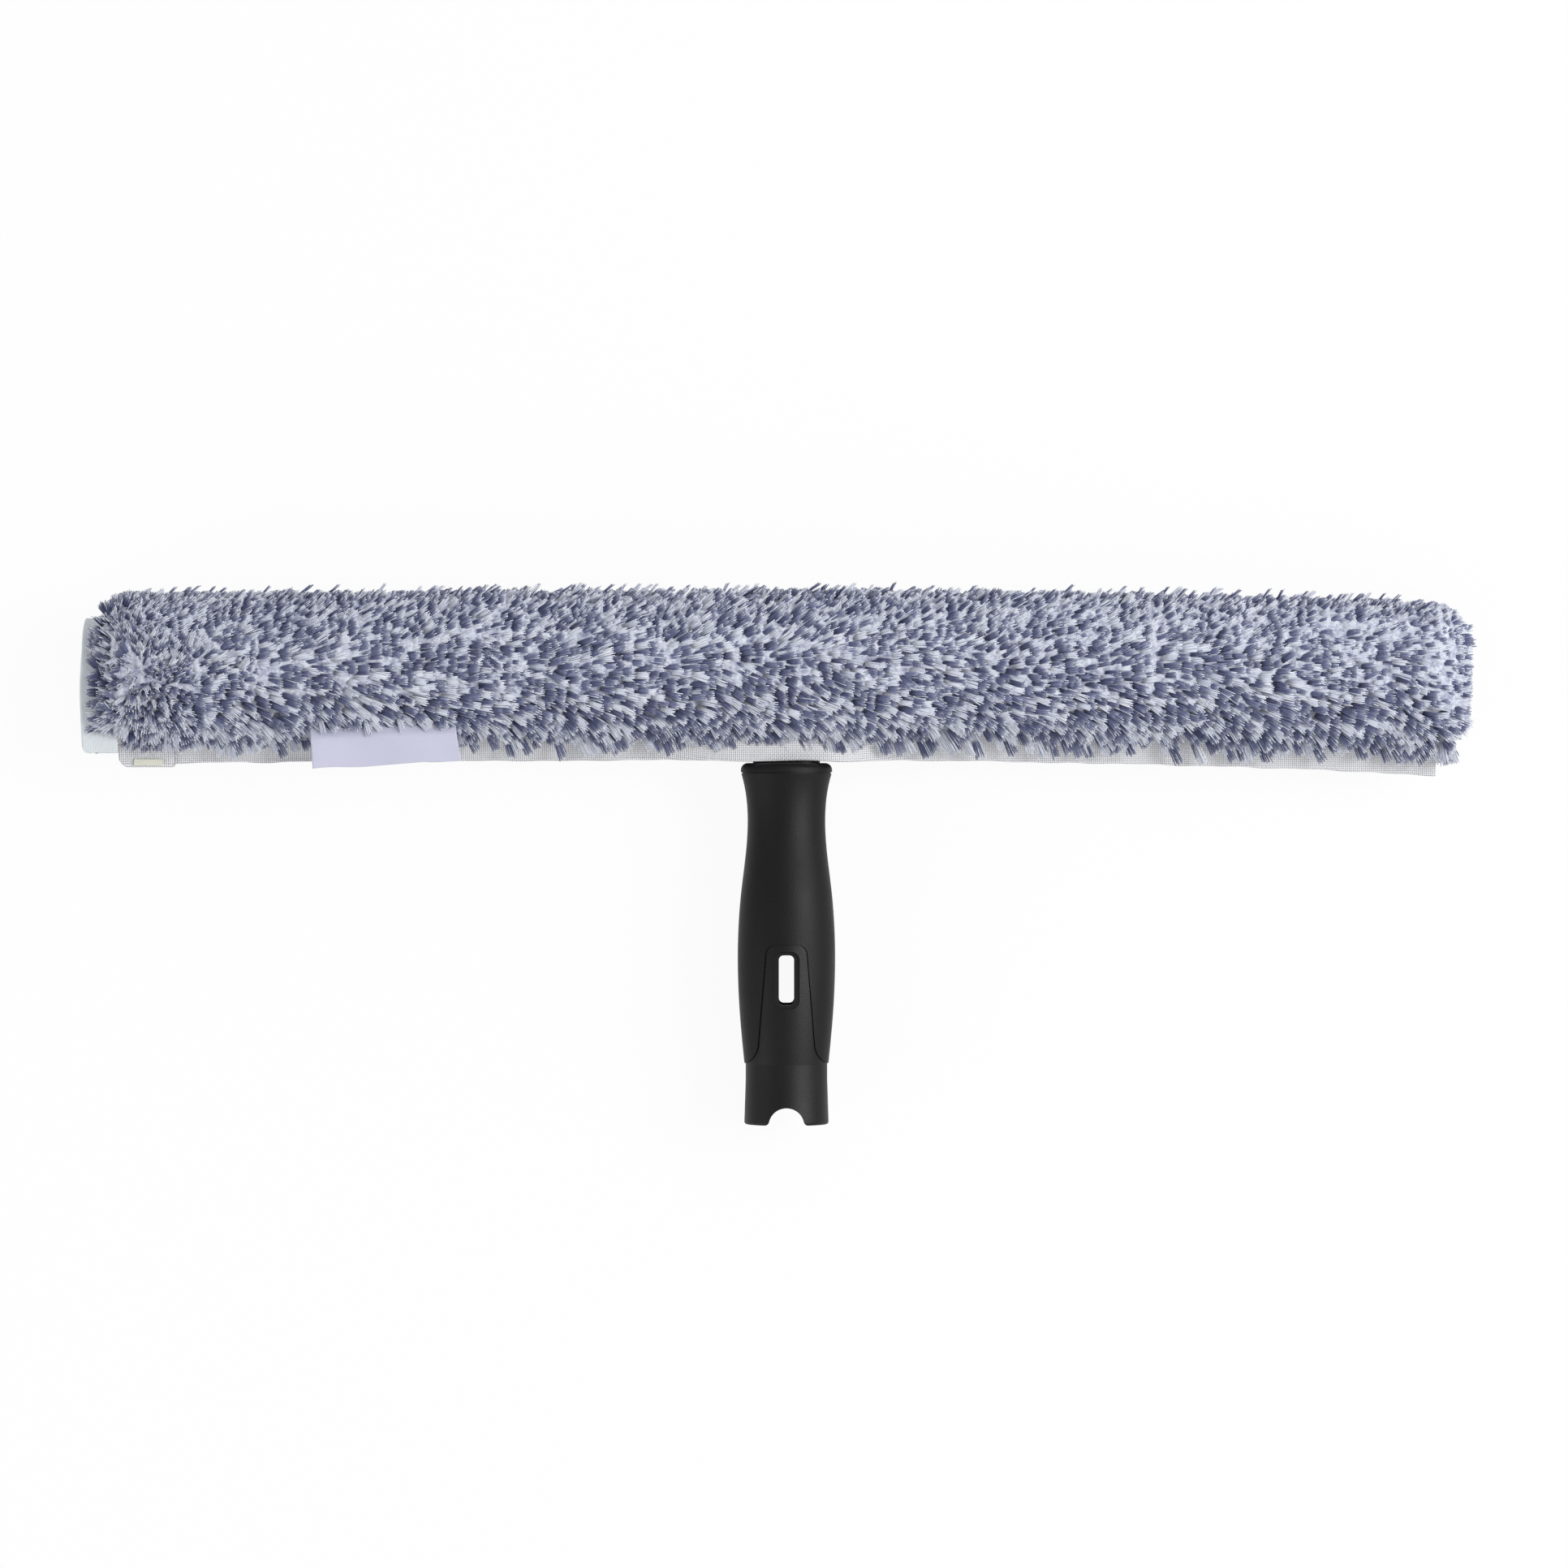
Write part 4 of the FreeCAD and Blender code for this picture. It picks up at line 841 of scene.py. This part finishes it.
# cloth panel in the right end: a stadium filled row by row, a little domed
panel = {
    "left": 219, "low": 126.2, "high": 165.8, "radius": 10.4, "dome": 0.15, "wall": 1.2,
    "rows": 40, "columns": 24,
}
fill, level = spans(-1, 1, panel["columns"], 0, 1, panel["rows"])
panelUp = panel["low"] + level * (panel["high"] - panel["low"])
beyond = np.maximum(panelUp - clothHigh, clothLow - panelUp)
panelHalf = np.sqrt(np.maximum(panel["radius"] ** 2 - np.maximum(beyond, 0) ** 2, 0.3))
panelDome = panel["left"] + panel["wall"] / 2 + panel["dome"] * (1 - fill ** 2)
endPanel = gridPiece(
    "rightEndPanel", joined(panelDome, panelUp, -fill * panelHalf),
    joined(fill * panelHalf, panelUp) / cloth["tile"], backingWeave, panel["wall"],
)
dress(endPanel, "sleeve", "backing", "right_end_panel")
print("cloth tube and end panel made")

# open cuff: an arch carried along the bar, its mouth turned in
cuff = {
    "left": -230.7, "right": -223.2, "lowRight": -218.6, "lowRun": (129, 6),
    "bottom": 121.9, "bend": 155.5, "radius": 10.22, "wall": 0.5, "cornerRound": 2, "tile": 16,
    "stages": ((0, 0.66), (0.66, 0.14), (0.8, 0.2)),  # outer face, turn and inner face
    "turnRadius": 0.27, "turnIn": 4,
    "bow": 0.9, "bowHeight": 42, "wander": 0.25, "wave": 0.16, "waveRun": 5,
    "rows": 160, "columns": 30, "crowding": 0.8,
}
cuffWeave = wovenCloth(
    "cuffTwill", tint(204, 211, 216), tint(226, 232, 236), 40, 40,
    ribbed=0, depth=0.00006, roughness=0.8,
)


def cuffSurface():
    # round the arch: front leg, half circle, rear leg; along: outer face to the mouth, a tight turn
    # and a short inner face
    legLength = cuff["bend"] - cuff["bottom"]
    length = 2 * legLength + math.pi * cuff["radius"]
    even = np.linspace(0, 1, cuff["rows"])[:, None]
    crowded = cuff["crowding"] * np.sin(2 * math.pi * even) / (2 * math.pi)
    around = length * (even - crowded)  # closer rows at both lower corners
    angle = np.clip((around - legLength) / cuff["radius"], 0, math.pi)
    leg = np.minimum(around, length - around)
    middle = np.minimum(cuff["bottom"] + leg, cuff["bend"])
    low = 1 - rise(middle, *cuff["lowRun"])
    right = cuff["right"] + (cuff["lowRight"] - cuff["right"]) * low
    height = np.clip((middle - cuff["bottom"]) / cuff["bowHeight"], 0, 1)
    mouth = cuff["left"] + 0.3 + cuff["bow"] * (1 - np.sin(math.pi * height))
    mouth = mouth + cuff["wander"] * ripples(around, 0, 14, 18, 40)
    mouth = mouth + cornerCut(leg, cuff["cornerRound"])
    run = np.linspace(0, 1, cuff["columns"])[None]
    outer, turn, inner = (np.clip((run - start) / part, 0, 1) for start, part in cuff["stages"])
    across = right + (mouth - right) * outer
    across = across - cuff["turnRadius"] * np.sin(math.pi * turn) + cuff["turnIn"] * inner
    inward = cuff["turnRadius"] * (1 - np.cos(math.pi * turn))
    wave = cuff["wave"] * (1 + ripples(across, around, 15, 9, 24))
    radius = cuff["radius"] - inward + wave * fall(across, cuff["right"], cuff["waveRun"])
    points = joined(across, middle + radius * np.sin(angle), radius * np.cos(angle))
    return points, joined(across, around) / cuff["tile"], length


cuffPoints, cuffPlaces, cuffLength = cuffSurface()
leftCuff = gridPiece("leftCuff", cuffPoints, cuffPlaces, cuffWeave, cuff["wall"])
dress(leftCuff, "sleeve", "cuff_cloth", "left_cuff")
print("cuff made")

# hems: the strip of tube beside the slit and its hanging edge, bowed round the neck
hem = {
    "left": -219, "right": 213, "lip": 8.4, "bottom": 119.5, "wall": 0.95, "tile": 24,
    "plain": 1.6, "bowed": 8.2, "neckHalf": 13, "bowRun": 30,  # depth of the edge
    "dropRight": 4.9, "dropLeft": 1, "bowDrop": 0.35, "sway": 0.18, "edgeWave": 0.22,
    "roll": 0.25, "rollRun": (0.85, 0.15), "cornerRound": 2.6, "cornerRun": 8,
    "strapLift": 1.3, "strapRun": (-200, 8),
    "tuckRight": 5.4, "tuckRun": 14, "tuckHeightRun": (123.5, 4),
    "columns": 560, "rows": 26,
}
hemRib = wovenCloth(
    "hemRib", tint(152, 153, 159), tint(238, 238, 241), 36, 32,
    ribbed=0.2, depth=0.0002, roughness=0.8,
)


def hemSurface(side):
    # down the section: a slope from the lip that steepens to the hanging edge; along the bar the
    # edge bows out round the neck and sags towards both ends
    across = np.linspace(hem["left"], hem["right"], hem["columns"])[None]
    down = np.linspace(0, 1, hem["rows"])[:, None]
    bow = 1 - rise(np.abs(across), hem["neckHalf"], hem["bowRun"])
    flange = hem["plain"] + (hem["bowed"] - hem["plain"]) * bow
    sway = hem["sway"] * ripples(across, 0, 21 if side > 0 else 22, 14, 46)
    flange = flange + sway * (1 - bow)
    lipUp = clothLow - math.sqrt(clothMiddle ** 2 - hem["lip"] ** 2)
    depth = flange + (hem["lip"] - flange) * (1 - down) ** 1.5
    depth = depth + hem["roll"] * rise(down, *hem["rollRun"]) * (1 - 0.5 * bow)
    dropRight = hem["dropRight"] * np.abs(across / hem["right"]) ** 2.2
    dropLeft = hem["dropLeft"] * np.abs(across / hem["left"]) ** 2
    bottom = hem["bottom"] - np.where(across > 0, dropRight, dropLeft)
    bottom = bottom + hem["edgeWave"] * ripples(across, 0, 24, 11, 38) - hem["bowDrop"] * bow
    if side < 0:
        lifted = 1 - rise(across, *hem["strapRun"])
        bottom = bottom + hem["strapLift"] * lifted  # clear of the strap's fold
    up = lipUp + (bottom - lipUp) * down
    step = np.linalg.norm(np.diff(joined(up, depth), axis=0), axis=-1)
    run = np.concatenate([np.zeros((1, step.shape[1])), np.cumsum(step, axis=0)])
    inset = cornerCut(up - bottom, hem["cornerRound"])
    inset = inset * fall(across, hem["left"] + hem["cornerRun"], hem["cornerRun"])
    tuck = hem["tuckRight"] * rise(up, *hem["tuckHeightRun"])  # reaches the end panel
    tuck = tuck * rise(across - hem["right"], -hem["tuckRun"], hem["tuckRun"])
    across = across + inset + tuck
    places = joined(across, run) / hem["tile"]
    return joined(across, up, side * depth), places, float(run[-1].mean())


for hemName, hemNode, side in (("frontHem", "front_hem", 1), ("rearHem", "rear_hem", -1)):
    points, places, hemWidth = hemSurface(side)
    facing = slice(None, None, -side)  # so that both hems face outwards
    hemPiece = gridPiece(hemName, points[:, facing], places[:, facing], hemRib, hem["wall"])
    dress(hemPiece, "sleeve", "hem_tape", hemNode)
print("hems made,", round(hemWidth, 1), "mm wide when flat")

# closure strips between the hems
tapes = {
    "runs": ((-218, -47), (47, 209)), "bottom": 119.9, "top": 125.6,
    "middle": 0.5, "wave": 0.05, "wall": 0.6, "columns": 150, "rows": 10, "tile": 24,
}
loopNap = nappedTape("loopNap", tint(190, 192, 194), tint(232, 233, 233), 1500, 0.0003)
hookNap = nappedTape("hookNap", tint(196, 196, 186), tint(232, 231, 220), 1100, 0.0004)


def tapeSurface(left, right, side):
    # a flat strip, a little uneven, that faces outwards
    across, level = spans(left, right, tapes["columns"], 0, 1, tapes["rows"])
    up = tapes["bottom"] + (tapes["top"] - tapes["bottom"]) * level
    depth = side * (tapes["middle"] + tapes["wave"] * ripples(across, up, 31, 6, 20))
    return joined(across, up, depth)[:, ::side]


tapePieces = {"loopTape": [], "hookTape": []}
for tapeName, tapeNode, nap, side in (
    ("loopTape", "loop_tape", loopNap, 1), ("hookTape", "hook_tape", hookNap, -1),
):
    for number, (left, right) in enumerate(tapes["runs"], start=1):
        points = tapeSurface(left, right, side)
        places = points[:, :, :2] / tapes["tile"]
        strip = gridPiece(f"{tapeName}_{number}", points, places, nap, tapes["wall"])
        tapePieces[tapeName].append(dress(strip, "sleeve", "closure_tape", tapeNode))
print("closure tapes made")

# cloth label: four measured corners, a wavy free edge, its top tucked into the pile
label = {
    "lowLeft": (-154.4, 116.6), "lowRight": (-106.2, 119.5),
    "highRight": (-108.3, 133.1), "highLeft": (-155.5, 131),
    "size": (48.2, 13.9), "depth": 15.75, "wall": 0.35, "tile": 12, "rows": 36, "columns": 96,
    "tuck": 2.4, "tuckRun": (0.62, 0.38), "curl": 0.5, "curlRun": 0.12,
    "wave": 0.35, "edgeWave": 0.18, "edgeSpan": (48, 14),
}
labelSatin = wovenCloth(
    "labelSatin", tint(186, 187, 208), tint(205, 206, 226), 40, 30,
    ribbed=0.5, depth=0.00006, roughness=0.6, sheen=0.15,
)


def labelSurface():
    # corners blended over two parameters, with waves along the free edge
    along, level = spans(0, 1, label["columns"], 0, 1, label["rows"])

    def between(left, right):
        return (1 - along)[..., None] * label[left] + along[..., None] * label[right]

    flat = (1 - level)[..., None] * between("lowLeft", "lowRight")
    flat = flat + level[..., None] * between("highLeft", "highRight")
    wave = 1 + np.sin(2 * math.pi * (1.6 * along + 0.25 * level) + 0.6)
    wave = label["wave"] * wave * (1 - 0.6 * level)
    curl = label["curl"] * fall(along, label["curlRun"], label["curlRun"]) * (1 - level)
    depth = label["depth"] + wave + curl - label["tuck"] * rise(level, *label["tuckRun"])
    spanAlong, spanUp = label["edgeSpan"]
    edge = label["edgeWave"] * ripples(spanAlong * along, spanUp * level, 41, 12, 30)
    places = joined(along, level) * label["size"] / label["tile"]
    return joined(flat[..., 0], flat[..., 1] + edge, depth), places


labelPoints, labelPlaces = labelSurface()
sewnLabel = gridPiece("sewnLabel", labelPoints, labelPlaces, labelSatin, label["wall"])
dress(sewnLabel, "sleeve", "label_cloth", "sewn_label")

# strap that closes the hems near the left end, hung from its bead under the rear hem
tab = {
    "left": -219, "right": -201, "low": 117.55, "high": 124.6, "front": 3.25, "lean": 1.35,
    "bead": (118.4, -1.6), "beadRadius": 0.62, "beadFrom": -2.6, "bendRadius": 0.9,
    "wall": 0.75, "cornerRound": 3.2, "wave": 0.12, "waveRun": (4, 4), "tile": 24,
}


def tabSurface():
    # section of the strap: round the bead, under both hems, a rounded turn and up the front
    turn = np.linspace(tab["beadFrom"], -0.5 * math.pi, 8)
    beadUp = tab["bead"][0] + tab["beadRadius"] * np.sin(turn)
    beadDepth = tab["bead"][1] + tab["beadRadius"] * np.cos(turn)
    bend = np.linspace(-0.5 * math.pi, 0, 8)
    bendUp = tab["low"] + tab["bendRadius"] + tab["bendRadius"] * np.sin(bend)
    bendDepth = tab["front"] - tab["bendRadius"] + tab["bendRadius"] * np.cos(bend)
    riseUp = np.linspace(tab["low"] + tab["bendRadius"], tab["high"], 12)[1:]
    lean = tab["lean"] * ((riseUp - riseUp[0]) / (tab["high"] - riseUp[0])) ** 1.5
    sectionUp = np.concatenate([beadUp, bendUp, riseUp])
    sectionDepth = np.concatenate([beadDepth, bendDepth, tab["front"] + lean])
    step = np.hypot(np.diff(sectionUp), np.diff(sectionDepth))
    run = np.concatenate([[0], np.cumsum(step)])
    inset = cornerCut(sectionUp - tab["low"], tab["cornerRound"])
    across = np.linspace(tab["left"], tab["right"], 40)[:, None]
    across = across + inset * (tab["right"] - across) / (tab["right"] - tab["left"])
    wave = np.abs(tab["wave"] * ripples(across, run[None], 51, 8, 16))
    depth = sectionDepth + wave * rise(run, *tab["waveRun"])
    return joined(across, sectionUp, depth), joined(across, run) / tab["tile"], run[-1]


tabPoints, tabPlaces, tabRun = tabSurface()
closingTab = gridPiece("closingTab", tabPoints[::-1], tabPlaces[::-1], hemRib, tab["wall"])
dress(closingTab, "strap", "hem_tape", "closing_tab")

patch = {
    "left": -214, "right": -204.5, "low": 117.75, "high": 119.9, "depth": 3.95, "wave": 0.06,
    "wall": 0.4, "columns": 40, "rows": 14,
}
hookYellow = nappedTape("hookYellow", tint(218, 218, 204), tint(234, 234, 222), 1300, 0.0002)
patchEnds = patch["left"], patch["right"]
across, up = spans(*patchEnds, patch["columns"], patch["low"], patch["high"], patch["rows"])
patchDepth = patch["depth"] + patch["wave"] * ripples(across, up, 61, 2, 5)
patchPoints = joined(across, up, patchDepth)
patchPlaces = patchPoints[:, :, :2] / tab["tile"]
hookPatch = gridPiece("tabHookPatch", patchPoints, patchPlaces, hookYellow, patch["wall"])
dress(hookPatch, "strap", "hook_patch", "tab_hook_patch")
print("label, strap and patch made")
